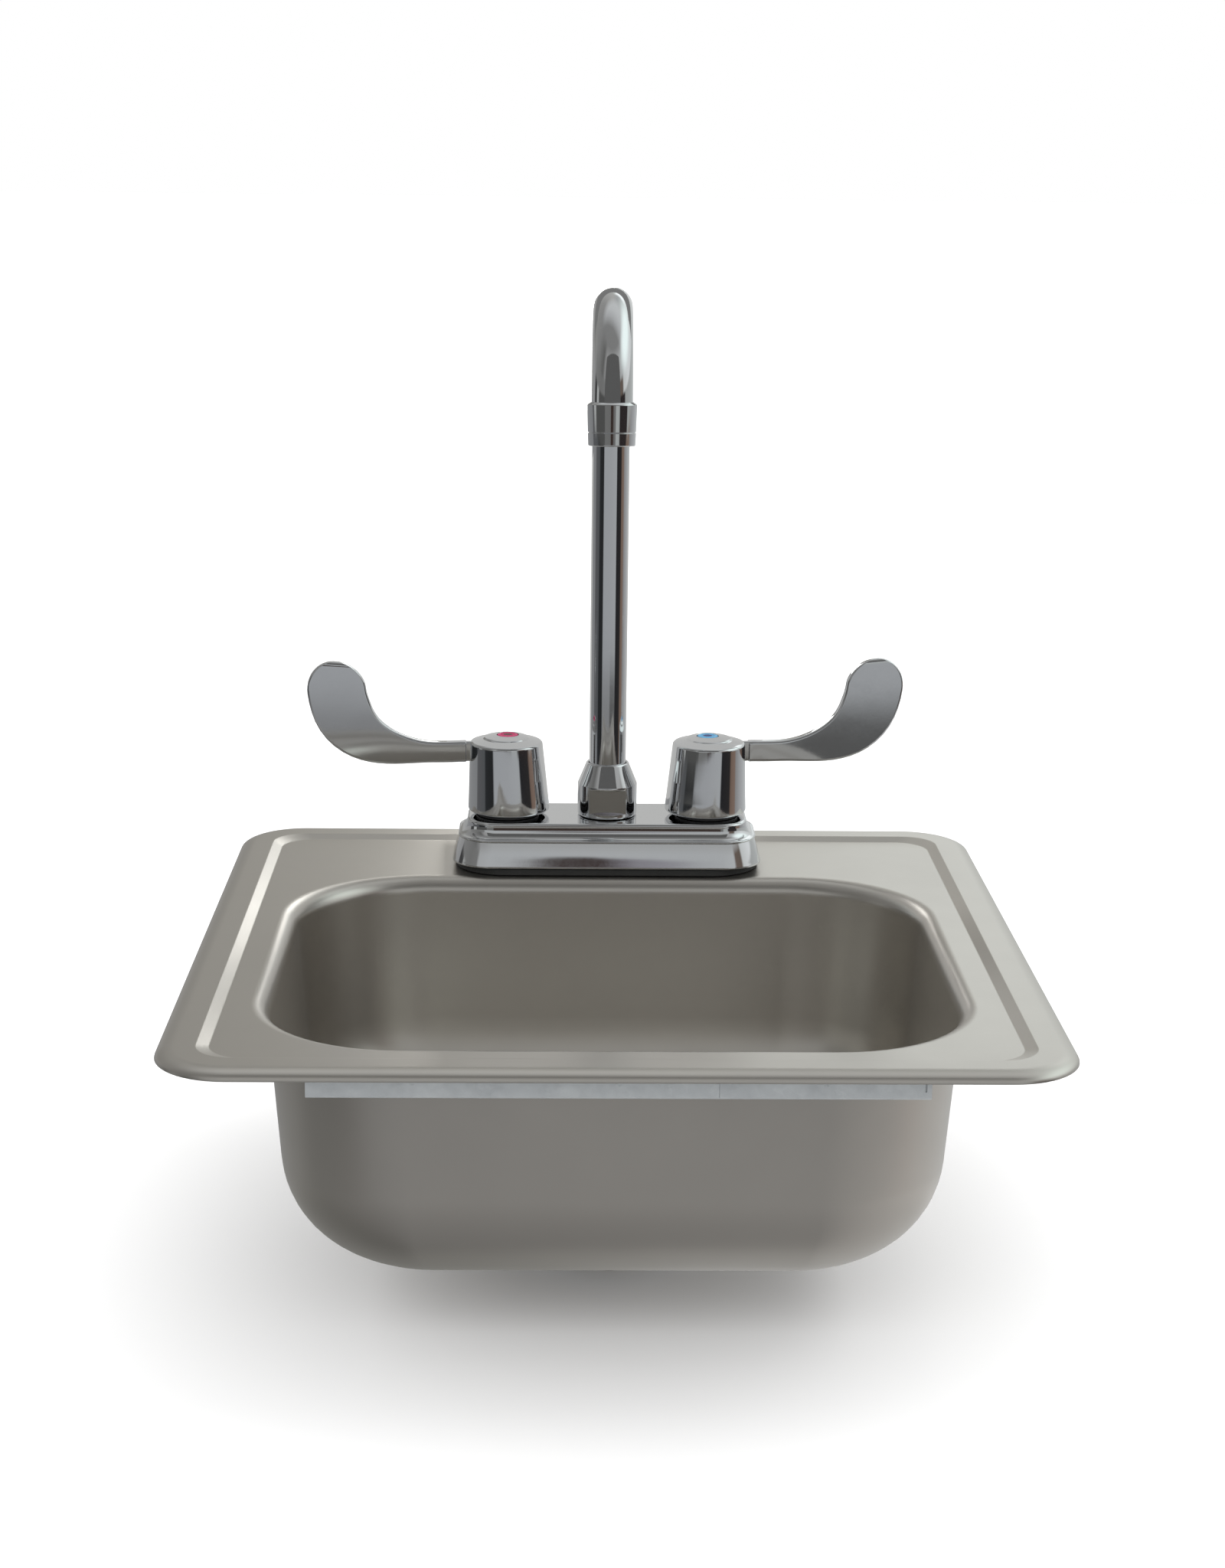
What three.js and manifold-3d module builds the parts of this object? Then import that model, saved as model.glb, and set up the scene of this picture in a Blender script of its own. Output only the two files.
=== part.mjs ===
// Drop-in stainless sink with a two-handle gooseneck faucet on 4 inch centres.
// Millimetres, +Z up, +Y to the back. The origin is the centre of the rim, on the
// counter plane that the rim's edge rests on.

import * as THREE from 'three';
import { mergeVertices } from 'three/addons/utils/BufferGeometryUtils.js';
import Module from 'manifold-3d';

const wasm = await Module();
wasm.setup();

// Sheet steel, rim and deck; the decks run from the bowl's upright walls to the rim's edge
const sheet = 1.0;
const sideDeck = 40.5;
const frontDeck = 38.15;
const rimCornerRadius = 32;
const rimHeight = 4.3;
const rimRollRun = 4.8;
const bandWidth = 16.5;
const stepRun = 5.5;
const stepDrop = 2.0;

// Bowl, measured inside the sheet
const bowlWidth = 300;
const bowlDepthY = 247.5;
const bowlCornerRadius = 61;
const bowlDeep = 118;
const bowlEdgeRadius = 10;
const bowlDraft = 4.3;
const bowlFloorRadius = 53.5;
const bowlFloorFall = 1.5;
const bowlCornerTighteningShare = 0.7;

// Drain seat and strainer
const drainHoleRadius = 25.8;
const drainSeatRadius = 37;
const drainSeatSlope = 3.5;
const drainSeatDrop = 2;
const drainFlangeRadius = 33.5;
const drainWall = 1.1;
const drainCupRadius = 24.9;
const drainCupDeep = 12.6;
const drainTailRadius = 19;
const drainTailLong = 11.5;
const drainGasketThick = 2.5;
const drainWasherThick = 1.0;
const drainLocknutHigh = 6.6;
const drainLocknutWide = 36;
const drainLugDeep = 3.2;
const drainLugWide = 9;
const drainLugCount = 8;

// Lift-out basket
const basketRimWide = 2.2;
const basketDeep = 9.6;
const basketWall = 0.9;
const basketHoleRadius = 1.7;
const basketFloorHoleCount = 6;
const basketSideHoleCount = 6;
const basketStopperThick = 2.4;
const basketPostRadius = 2.3;
const basketKnobRadius = 6.2;
const basketKnobHigh = 3.4;
const basketKnobBevel = 0.9;
const basketKnobRise = 11.5;

// Rails welded under the rim for the mounting clips
const railLength = 254;
const railWide = 7;
const railHigh = 13.4;
const railSheet = 0.9;
const railLip = 1.8;
const railInset = 9.5;

// Faucet base, with its gaps to the bowl's back wall and to the step of the rim
const valveCentres = 101.6;
const plateFrontGap = 4.35;
const plateBackGap = 11;
const gasketThick = 3.4;
const gasketInset = 1.2;
const gasketCornerRadius = 26;
const plateWidth = 157;
const plateDepth = 58;
const plateHigh = 21.7;
const plateCornerRadius = 19.5;
const plateCornerTighteningShare = 0.7;
const plateSkirtCurveShare = 0.8;
const plateWall = 2.5;
const plateFootHigh = 1.2;
const plateSkirtHigh = 12.4;
const plateSkirtFlare = 3.7;
const plateBead = 0.8;
const plateCoveRun = 3.7;
const plateEdgeRadius = 1.5;

// Brass waterway under the plate
const faucetHoleRadius = 15.9;
const shankRadius = 10.45;
const shankBoreRadius = 6;
const shankLong = 49;
const valveBossRadius = 12.7;
const valveBossRise = 4.2;
const valvePocketRadius = 9.6;
const spoutBossRadius = 10.95;
const spoutBossRise = 12;
const spoutBoreRadius = 9.95;
const passageRadius = 3.4;
const passageBarWide = 11.5;

// Shank fixings under the deck
const shankWasherRadius = 19;
const shankWasherThick = 1.6;
const locknutAcross = 30;
const locknutHigh = 8;

// Valve cartridges and bonnets
const bonnetRadius = 16;
const bonnetHigh = 3.4;
const cartridgeWall = 4.2;
const cartridgeHexAcross = 20;
const cartridgeHexHigh = 4;
const cartridgeNeckRadius = 7.2;
const cartridgeNeckHigh = 7;
const cartridgeWindowHigh = 5;
const stemRadius = 4.2;
const stemFluteDeep = 0.5;
const stemFluteCount = 12;

// Handles
const handleLift = 2.2;
const hotRestTurn = 184;
const coldRestTurn = 7.5;
const hubRadius = 20.75;
const hubTopRadius = 18.4;
const hubHigh = 35.8;
const hubFootShift = 0.7;
const hubLean = 1.5;
const hubDomeRise = 3.3;
const hubEdgeRadius = 1.6;
const hubWall = 2.6;
const hubCavityHigh = 21;
const hubWebThick = 3.6;
const stemEngagement = 8;
const buttonRadius = 5.35;
const buttonBevel = 0.4;
const screwHeadRadius = 3.7;
const screwHeadHigh = 2.6;
const screwRadius = 1.7;
const screwLong = 11;
const leverReach = 98.8;
const leverRise = 38.3;
const leverArmHigh = 9.3;
const leverArmThick = 5.6;
const leverPaddleWide = 29.5;
const leverPaddleThick = 4.2;
const leverArmBelowRim = 4.4;
const leverSwellStartShare = 0.25;
const leverSwellEndShare = 0.78;
const leverNearPullShare = 0.52;
const leverFarPullShare = 0.92;
const leverSagShare = 0.31;
const leverFlatnessShare = 0.55;
const leverSquarenessShare = 0.45;

// Spout
const spoutTubeRadius = 9.3;
const spoutTubeWall = 1.2;
const spoutBendRadius = 44.45;
const spoutTopHeight = 296.5;
const spoutOutletTilt = 4.5;
const spoutOvalShare = 0.03;
const spoutTailLong = 12;
const spoutRestTurn = 0.9;
const ferruleFlangeHigh = 3;
const ferruleLong = 15.5;
const ferruleWall = 1.6;
const oRingRadius = 1.2;
const oRingRise = 6;
const spoutWasherThick = 1;
const nutRadius = 15.1;
const nutFlatHalfWide = 9.3;
const nutHigh = 16.2;
const nutConeHigh = 10.9;
const nutTopRadius = 10.8;
const nutChamfer = 0.8;
const nutFlatRise = 2.4;
const nutFlatDrop = 1.5;

// Aerator
const aeratorTopRadius = 11.6;
const aeratorEndRadius = 10.95;
const aeratorHigh = 19;
const aeratorLap = 12;
const aeratorWall = 1.1;
const aeratorGroove = 0.3;
const aeratorGrooveRise = 6.2;
const aeratorShoulder = 1.2;
const screenThick = 3;
const screenHoleRadius = 1.1;
const screenHoleCount = 6;
const screenHoleRingShare = 0.66;
const washerThick = 1.6;

// Clearances and facets
const clearance = 0.3;
const overrun = 1;
const cornerSteps = 6;
const roundSides = 24;
const smallSides = 16;
const holeSides = 8;
const bendSteps = 14;
const floorSteps = 6;
const edgeSteps = 3;
const rollSteps = 3;
const leverBodySteps = 9;
const leverTipSteps = 5;
const leverSides = 10;
const stepSlices = 2;
const skirtSteps = 2;
const coveSteps = 3;
const roundSteps = 2;
const domeSteps = 3;
const sealSteps = 6;

// Places that follow from the sizes above
const half = 1 / 2;
const deckTop = rimHeight - stepDrop;
const deckUnder = deckTop - sheet;
const backDeck = plateFrontGap + plateDepth + plateBackGap + stepRun + bandWidth;
const rimWidth = bowlWidth + 2 * sideDeck;
const rimDepth = bowlDepthY + frontDeck + backDeck;
const bowlY = frontDeck + (bowlDepthY - rimDepth) * half;
const faucetY = rimDepth * half - bandWidth - stepRun - plateBackGap - plateDepth * half;
const hotX = -valveCentres * half;
const coldX = valveCentres * half;
const floorTop = -bowlDeep;
const drainFloorTop = floorTop - bowlFloorFall;
const drainSeatTop = drainFloorTop - drainSeatDrop;
const drainSeatUnder = drainSeatTop - sheet;
const gasketBase = deckTop + clearance;
const plateBase = gasketBase + gasketThick + clearance;
const plateTop = plateBase + plateHigh;
const plateCeiling = plateTop - plateWall;
const hubBase = plateTop + handleLift;
const hubRim = hubBase + hubHigh;
const hubTop = hubRim + hubDomeRise;
const degree = Math.PI / 180;
const quarterTurn = Math.PI * half;

// Finishes
function finish(colour, roughness, metalness) {
  return () => new THREE.MeshStandardMaterial({ color: colour, roughness, metalness });
}
const satinSteel = finish(0x9c978f, 0.42, 1);
const galvanised = finish(0x9aa3a8, 0.5, 0.9);
const chrome = finish(0xc9cccd, 0.08, 1);
const brass = finish(0xb08d45, 0.35, 1);
const zincSteel = finish(0xa9adb0, 0.45, 0.9);
const rubber = finish(0x161616, 0.85, 0);
const fibre = finish(0x7a6a55, 0.9, 0);
const nylon = finish(0xe8e6df, 0.6, 0);
const hotPlastic = finish(0xd8466b, 0.35, 0);
const coldPlastic = finish(0x6fb4dc, 0.35, 0);
const greyPlastic = finish(0x8f9396, 0.5, 0);

// Rings of points for lofts, all counter-clockwise seen from above

// A rectangle with rounded corners, lying flat at height z
function roundedRing(halfX, halfY, corner, x, y, z) {
  const radius = Math.min(corner, halfX, halfY);
  const points = [];
  for (let quadrant = 0; quadrant < 4; quadrant += 1) {
    const signX = quadrant === 0 || quadrant === 3 ? 1 : -1;
    const signY = quadrant < 2 ? 1 : -1;
    for (let step = 0; step <= cornerSteps; step += 1) {
      const angle = (quadrant + step / cornerSteps) * quarterTurn;
      points.push(new THREE.Vector3(
        x + signX * (halfX - radius) + radius * Math.cos(angle),
        y + signY * (halfY - radius) + radius * Math.sin(angle),
        z,
      ));
    }
  }
  return points;
}

// A circle with as many points as a rounded rectangle has
function circleRing(radius, x, y, z, sides = 4 * (cornerSteps + 1)) {
  const points = [];
  for (let side = 0; side < sides; side += 1) {
    const angle = ((side + half) / sides) * 2 * Math.PI;
    points.push(new THREE.Vector3(x + radius * Math.cos(angle), y + radius * Math.sin(angle), z));
  }
  return points;
}

// Vertices merged by place, folded triangles dropped and faces turned outwards
function tidySolid(geometry) {
  geometry.deleteAttribute('normal');
  geometry.deleteAttribute('uv');
  const merged = mergeVertices(geometry);
  const place = merged.getAttribute('position');
  const index = merged.getIndex();
  const kept = [];
  const a = new THREE.Vector3();
  const b = new THREE.Vector3();
  const c = new THREE.Vector3();
  let volume = 0;
  for (let i = 0; i < index.count; i += 3) {
    const corners = [index.getX(i), index.getX(i + 1), index.getX(i + 2)];
    if (new Set(corners).size === 3) {
      kept.push(...corners);
      a.fromBufferAttribute(place, corners[0]);
      b.fromBufferAttribute(place, corners[1]);
      c.fromBufferAttribute(place, corners[2]);
      volume += a.dot(b.cross(c));
    }
  }
  if (volume < 0) kept.reverse();
  merged.setIndex(kept);
  return merged;
}

// Skin through the rings in turn, capped at both ends, or joined end to end
function loft(rings, joined = false) {
  const sides = rings[0].length;
  const places = rings.flatMap((ring) => ring.flatMap((point) => point.toArray()));
  const index = [];
  const spans = joined ? rings.length : rings.length - 1;
  for (let ring = 0; ring < spans; ring += 1) {
    const next = (ring + 1) % rings.length;
    for (let side = 0; side < sides; side += 1) {
      const far = (side + 1) % sides;
      const [p, q] = [ring * sides + side, ring * sides + far];
      const [r, s] = [next * sides + side, next * sides + far];
      index.push(p, q, s, p, s, r);
    }
  }
  if (!joined) {
    [rings[0], rings[rings.length - 1]].forEach((ring, end) => {
      const hub = ring.reduce((sum, point) => sum.add(point), new THREE.Vector3());
      hub.divideScalar(sides);
      const centre = places.length / 3;
      places.push(...hub.toArray());
      const first = end === 0 ? 0 : (rings.length - 1) * sides;
      for (let side = 0; side < sides; side += 1) {
        const far = (side + 1) % sides;
        const fan = [centre, first + far, first + side];
        index.push(...(end === 0 ? fan : fan.reverse()));
      }
    });
  }
  const geometry = new THREE.BufferGeometry();
  geometry.setAttribute('position', new THREE.Float32BufferAttribute(places, 3));
  geometry.setIndex(index);
  return tidySolid(geometry);
}

// Profile of [radius, height] pairs turned about the Z axis
function turned(profile, sides = roundSides) {
  const outline = profile.map(([radius, height]) => new THREE.Vector2(radius, height));
  const geometry = new THREE.LatheGeometry(outline, sides);
  geometry.rotateX(quarterTurn);
  return tidySolid(geometry);
}

// Ring with a square section, between two radii and two heights
function collar(inner, outer, low, high, sides = roundSides) {
  return turned([[inner, low], [outer, low], [outer, high], [inner, high], [inner, low]], sides);
}

// Plain round bar between two heights
function bar(radius, low, high, sides = roundSides) {
  return turned([[0, low], [radius, low], [radius, high], [0, high]], sides);
}

// Flat outline pushed up from one height to another
function pushed(shape, low, high) {
  const geometry = new THREE.ExtrudeGeometry(shape, { depth: high - low, bevelEnabled: false });
  geometry.translate(0, 0, low);
  return tidySolid(geometry);
}

function hexagon(across) {
  const shape = new THREE.Shape();
  const radius = (across * half) / Math.cos(Math.PI / 6);
  for (let corner = 0; corner < 6; corner += 1) {
    const angle = (corner / 6) * 2 * Math.PI;
    const [x, y] = [radius * Math.cos(angle), radius * Math.sin(angle)];
    if (corner === 0) shape.moveTo(x, y);
    else shape.lineTo(x, y);
  }
  shape.closePath();
  return shape;
}

function moved(geometry, x, y, z = 0) {
  return geometry.clone().translate(x, y, z);
}

// Joins and cuts

function toSolid(geometry) {
  const mesh = new wasm.Mesh({
    numProp: 3,
    vertProperties: new Float32Array(geometry.getAttribute('position').array),
    triVerts: new Uint32Array(geometry.getIndex().array),
  });
  return new wasm.Manifold(mesh);
}

function fromSolid(solid) {
  const mesh = solid.getMesh();
  const geometry = new THREE.BufferGeometry();
  geometry.setAttribute('position', new THREE.Float32BufferAttribute(mesh.vertProperties, 3));
  geometry.setIndex(Array.from(mesh.triVerts));
  return geometry;
}

// One solid from pieces joined together, with others cut away
function shaped(joins, cuts = []) {
  const joined = joins.map(toSolid).reduce((whole, piece) => whole.add(piece));
  return fromSolid(cuts.map(toSolid).reduce((whole, piece) => whole.subtract(piece), joined));
}

// Product tree
const product = new THREE.Group();

function addPiece(name, geometry, finishOf, parent = product) {
  const mesh = new THREE.Mesh(geometry, finishOf());
  mesh.name = name;
  parent.add(mesh);
  return mesh;
}

// Sink: one drawn sheet, as rings from the drain out over the rim and back underneath

// Ring of the rim's family, a given distance in from the rim's outer edge
function rimRing(inset, z) {
  const corner = Math.max(rimCornerRadius - inset, rimCornerRadius * half);
  return roundedRing(rimWidth * half - inset, rimDepth * half - inset, corner, 0, 0, z);
}

// Ring of the bowl's family, a given distance in from the mouth of its upright wall
function bowlRing(inset, z) {
  const corner = bowlCornerRadius - inset * bowlCornerTighteningShare;
  return roundedRing(bowlWidth * half - inset, bowlDepthY * half - inset, corner, 0, bowlY, z);
}

// One face of the sheet; skin is 0 on top and the sheet's thickness underneath
function sheetFace(skin) {
  const draft = bowlDraft * degree;
  const rings = [];
  rings.push(circleRing(drainSeatRadius, 0, bowlY, drainSeatTop - skin));
  rings.push(circleRing(drainSeatRadius + drainSeatSlope, 0, bowlY, drainFloorTop - skin));
  const floorTurn = bowlFloorRadius + skin;
  const turnCentre = floorTop + bowlFloorRadius;
  const turnTop = turnCentre - floorTurn * Math.sin(draft);
  const wallTop = deckTop - bowlEdgeRadius;
  const wallInset = (wallTop - turnTop) * Math.tan(draft) - skin;
  const turnInset = wallInset + floorTurn * Math.cos(draft);
  for (let step = 0; step <= floorSteps; step += 1) {
    const angle = quarterTurn - (step / floorSteps) * (quarterTurn - draft);
    rings.push(bowlRing(turnInset - floorTurn * Math.cos(angle), turnCentre - floorTurn * Math.sin(angle)));
  }
  const edge = bowlEdgeRadius - skin;
  for (let step = 0; step <= edgeSteps; step += 1) {
    const angle = (step / edgeSteps) * quarterTurn;
    rings.push(bowlRing(edge * Math.cos(angle) - bowlEdgeRadius, wallTop + edge * Math.sin(angle)));
  }
  for (let step = 0; step <= stepSlices; step += 1) {
    const share = step / stepSlices;
    const rise = stepDrop * half * (1 - Math.cos(share * Math.PI));
    rings.push(rimRing(bandWidth + stepRun * (1 - share), deckTop - skin + rise));
  }
  for (let step = 0; step <= rollSteps; step += 1) {
    const angle = quarterTurn * (1 - step / rollSteps);
    const [run, rise] = [rimRollRun - skin, rimHeight - skin];
    rings.push(rimRing(rimRollRun - run * Math.cos(angle), rise * Math.sin(angle)));
  }
  return rings;
}

function drillHole(radius, x, y, low, high, sides = roundSides) {
  return moved(bar(radius, low, high, sides), x, y);
}

function sinkBowl() {
  const shell = loft([...sheetFace(0), ...sheetFace(sheet).reverse()]);
  const drain = drillHole(drainHoleRadius, 0, bowlY, drainSeatUnder - overrun, drainSeatTop + overrun);
  const shanks = [hotX, coldX].map((x) => (
    drillHole(faucetHoleRadius, x, faucetY, deckUnder - overrun, deckTop + overrun)
  ));
  return shaped([shell], [drain, ...shanks]);
}

addPiece('sink_bowl', sinkBowl(), satinSteel);

// Rails: folded channels under the raised band, open downwards with turned-in lips
function railSection() {
  const [out, wall, lip] = [railWide * half, railSheet, railLip];
  const shape = new THREE.Shape();
  shape.moveTo(-out, 0);
  shape.lineTo(-out + lip, 0);
  shape.lineTo(-out + lip, wall);
  shape.lineTo(-out + wall, wall);
  shape.lineTo(-out + wall, railHigh - wall);
  shape.lineTo(out - wall, railHigh - wall);
  shape.lineTo(out - wall, wall);
  shape.lineTo(out - lip, wall);
  shape.lineTo(out - lip, 0);
  shape.lineTo(out, 0);
  shape.lineTo(out, railHigh);
  shape.lineTo(-out, railHigh);
  shape.closePath();
  return shape;
}

const railBase = rimHeight - sheet - clearance - railHigh;
const railReach = railInset + railWide * half;
const railSides = [
  { name: 'rail_front', turn: 0, offset: rimDepth * half - railReach },
  { name: 'rail_right', turn: 1, offset: rimWidth * half - railReach },
  { name: 'rail_back', turn: 2, offset: rimDepth * half - railReach },
  { name: 'rail_left', turn: 3, offset: rimWidth * half - railReach },
];
railSides.forEach(({ name, turn, offset }) => {
  const geometry = pushed(railSection(), -railLength * half, railLength * half);
  geometry.rotateX(quarterTurn);
  geometry.rotateZ(quarterTurn);
  const rail = addPiece(name, geometry, galvanised);
  const angle = (turn - 1) * quarterTurn;
  rail.rotation.z = turn * quarterTurn;
  rail.position.set(offset * Math.cos(angle), offset * Math.sin(angle), railBase);
});

// Drain: flanged cup through the bowl, sealed and pulled up from below by its locknut
const flangeTop = drainSeatTop + clearance + drainWall;
const cupBottom = drainSeatTop + clearance - drainCupDeep;
const tailBottom = cupBottom - drainTailLong;
const cupInner = drainCupRadius - drainWall;
const tailInner = drainTailRadius - drainWall;

function drainBody() {
  const flangeUnder = drainSeatTop + clearance;
  return moved(turned([
    [cupInner, flangeTop],
    [cupInner, cupBottom + drainWall],
    [tailInner, cupBottom + drainWall],
    [tailInner, tailBottom],
    [drainTailRadius, tailBottom],
    [drainTailRadius, cupBottom],
    [drainCupRadius, cupBottom],
    [drainCupRadius, flangeUnder],
    [drainFlangeRadius, flangeUnder],
    [drainFlangeRadius, flangeUnder + drainWall * half],
    [drainFlangeRadius - drainWall, flangeTop],
    [cupInner, flangeTop],
  ]), 0, bowlY);
}

const drainBore = drainCupRadius + clearance;
const gasketTopZ = drainSeatUnder - clearance;
const fibreTop = gasketTopZ - drainGasketThick - clearance;
const locknutTop = fibreTop - drainWasherThick - clearance;

function drainLocknut() {
  const low = locknutTop - drainLocknutHigh;
  const notches = [];
  for (let lug = 0; lug < drainLugCount; lug += 1) {
    const notch = new THREE.BoxGeometry(drainLugDeep * 2, drainLugWide, drainLocknutHigh);
    notch.translate(drainLocknutWide, 0, low);
    notch.rotateZ((lug / drainLugCount) * 2 * Math.PI);
    notches.push(tidySolid(notch));
  }
  return moved(shaped([collar(drainBore, drainLocknutWide, low, locknutTop)], notches), 0, bowlY);
}

addPiece('drain_body', drainBody(), satinSteel);
addPiece('drain_gasket', moved(collar(
  drainBore, drainSeatRadius - overrun, gasketTopZ - drainGasketThick, gasketTopZ,
), 0, bowlY), rubber);
addPiece('drain_fibre_washer', moved(collar(
  drainBore, drainFlangeRadius + overrun, fibreTop - drainWasherThick, fibreTop,
), 0, bowlY), fibre);
addPiece('drain_locknut', drainLocknut(), zincSteel);

// Basket: perforated cup that hangs in the drain, with a stopper below and a knob to lift it
const basketOuter = cupInner - clearance;
const stopperTop = cupBottom + drainWall + clearance + basketStopperThick;
const basketFloor = stopperTop + clearance;
const basketTop = basketFloor + basketDeep;

function basketCup() {
  const bodyRadius = basketOuter - basketRimWide;
  const inner = bodyRadius - basketWall;
  const cup = turned([
    [0, basketFloor],
    [bodyRadius, basketFloor],
    [bodyRadius, basketTop - basketWall],
    [basketOuter, basketTop - basketWall],
    [basketOuter, basketTop],
    [inner, basketTop],
    [inner, basketFloor + basketWall],
    [0, basketFloor + basketWall],
  ], smallSides);
  const floorHoles = [];
  for (let hole = 0; hole < basketFloorHoleCount; hole += 1) {
    const angle = (hole / basketFloorHoleCount) * 2 * Math.PI;
    const reach = (basketPostRadius + bodyRadius) * half;
    floorHoles.push(drillHole(
      basketHoleRadius,
      reach * Math.cos(angle),
      reach * Math.sin(angle),
      basketFloor - overrun,
      basketFloor + basketWall + overrun,
      holeSides,
    ));
  }
  const sideHoles = [];
  for (let hole = 0; hole < basketSideHoleCount; hole += 1) {
    const drill = bar(basketHoleRadius, inner - overrun, bodyRadius + overrun, holeSides);
    drill.rotateY(quarterTurn);
    drill.translate(0, 0, basketFloor + basketDeep * half);
    drill.rotateZ(((hole + half) / basketSideHoleCount) * 2 * Math.PI);
    sideHoles.push(drill);
  }
  const postHole = bar(basketPostRadius + clearance, basketFloor - overrun, basketTop, holeSides);
  return moved(shaped([cup], [...floorHoles, ...sideHoles, postHole]), 0, bowlY);
}

function basketKnob() {
  const foot = stopperTop - basketStopperThick * half;
  const knobTop = basketFloor + basketKnobRise;
  const knobLow = knobTop - basketKnobHigh;
  const seat = basketFloor + basketWall + clearance;
  return moved(turned([
    [0, foot],
    [basketPostRadius, foot],
    [basketPostRadius, seat],
    [basketPostRadius * 2, seat],
    [basketPostRadius * 2, seat + basketWall],
    [basketPostRadius, seat + 2 * basketWall],
    [basketPostRadius, knobLow],
    [basketKnobRadius, knobLow + basketKnobBevel],
    [basketKnobRadius, knobTop - basketKnobBevel],
    [basketKnobRadius * half, knobTop],
    [0, knobTop],
  ], smallSides), 0, bowlY);
}

function basketStopper() {
  const low = stopperTop - basketStopperThick;
  const wide = tailInner + drainWall;
  const socket = basketPostRadius + clearance;
  return moved(turned([
    [0, low],
    [wide - drainWall, low],
    [wide, low + basketStopperThick * half],
    [wide, stopperTop],
    [socket, stopperTop],
    [socket, low + basketStopperThick * half - clearance],
    [0, low + basketStopperThick * half - clearance],
  ], smallSides), 0, bowlY);
}

addPiece('basket_cup', basketCup(), satinSteel);
addPiece('basket_stopper', basketStopper(), rubber);
addPiece('basket_knob', basketKnob(), satinSteel);

// Faucet base: cast plate with a flared skirt, a bead and a cove, hollow underneath

function plateRing(inset, z, shrink = 0, footCorner = plateCornerRadius) {
  const corner = footCorner - (inset + shrink) * plateCornerTighteningShare;
  const [halfX, halfY] = [plateWidth * half - inset - shrink, plateDepth * half - inset - shrink];
  return roundedRing(halfX, halfY, corner, 0, faucetY, z);
}

// Outside of the plate as [inset, height] pairs from the foot up
function plateProfile() {
  const profile = [[0, plateBase], [0, plateBase + plateFootHigh]];
  const skirtLow = plateBase + plateFootHigh;
  const skirtTop = plateBase + plateSkirtHigh;
  for (let step = 1; step <= skirtSteps; step += 1) {
    const share = step / skirtSteps;
    profile.push([plateSkirtFlare * share ** plateSkirtCurveShare, skirtLow + (skirtTop - skirtLow) * share]);
  }
  profile.push([plateSkirtFlare - plateBead, skirtTop + plateBead * half]);
  profile.push([plateSkirtFlare - plateBead, skirtTop + plateBead + plateBead * half]);
  profile.push([plateSkirtFlare, skirtTop + 2 * plateBead]);
  const coveLow = skirtTop + 2 * plateBead;
  const coveTop = plateTop - plateEdgeRadius;
  for (let step = 1; step <= coveSteps; step += 1) {
    const angle = (step / coveSteps) * quarterTurn;
    profile.push([
      plateSkirtFlare + plateCoveRun * Math.sin(angle),
      coveLow + (coveTop - coveLow) * (1 - Math.cos(angle)),
    ]);
  }
  const edgeInset = plateSkirtFlare + plateCoveRun + plateEdgeRadius;
  for (let step = 1; step <= roundSteps; step += 1) {
    const angle = (step / roundSteps) * quarterTurn;
    profile.push([
      edgeInset - plateEdgeRadius * Math.cos(angle),
      coveTop + plateEdgeRadius * Math.sin(angle),
    ]);
  }
  return profile;
}

function basePlate() {
  const outside = loft(plateProfile().map(([inset, z]) => plateRing(inset, z)));
  const topInset = plateSkirtFlare + plateCoveRun + plateEdgeRadius;
  const shoulder = plateBase + plateSkirtHigh;
  const hollow = loft([
    plateRing(0, plateBase - overrun, plateWall),
    plateRing(plateSkirtFlare, shoulder, plateWall),
    plateRing(topInset, plateCeiling, plateWall),
  ]);
  const valveHoles = [hotX, coldX].map((x) => (
    drillHole(valveBossRadius + clearance, x, faucetY, plateCeiling - overrun, plateTop + overrun)
  ));
  const spoutHole = drillHole(
    spoutBossRadius + clearance, 0, faucetY, plateCeiling - overrun, plateTop + overrun,
  );
  return shaped([outside], [hollow, ...valveHoles, spoutHole]);
}

function faucetGasket() {
  const pad = loft([
    plateRing(gasketInset, gasketBase, 0, gasketCornerRadius),
    plateRing(gasketInset, gasketBase + gasketThick, 0, gasketCornerRadius),
  ]);
  const holes = [hotX, coldX].map((x) => (
    drillHole(valveBossRadius + clearance, x, faucetY, gasketBase - overrun, plateBase + overrun)
  ));
  return shaped([pad], holes);
}

addPiece('faucet_gasket', faucetGasket(), rubber);
addPiece('base_plate', basePlate(), chrome);

// Waterway: brass casting with two valve bosses, the spout boss and two threaded shanks
const waterwayBase = plateBase + clearance;
const valveBossTop = plateTop + valveBossRise;
const spoutBossTop = plateTop + spoutBossRise;
const barTop = plateCeiling - overrun;
const barBase = barTop - passageBarWide;
const pocketFloor = barBase + cartridgeWall * half;
const shankEnd = deckUnder - shankLong;

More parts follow.
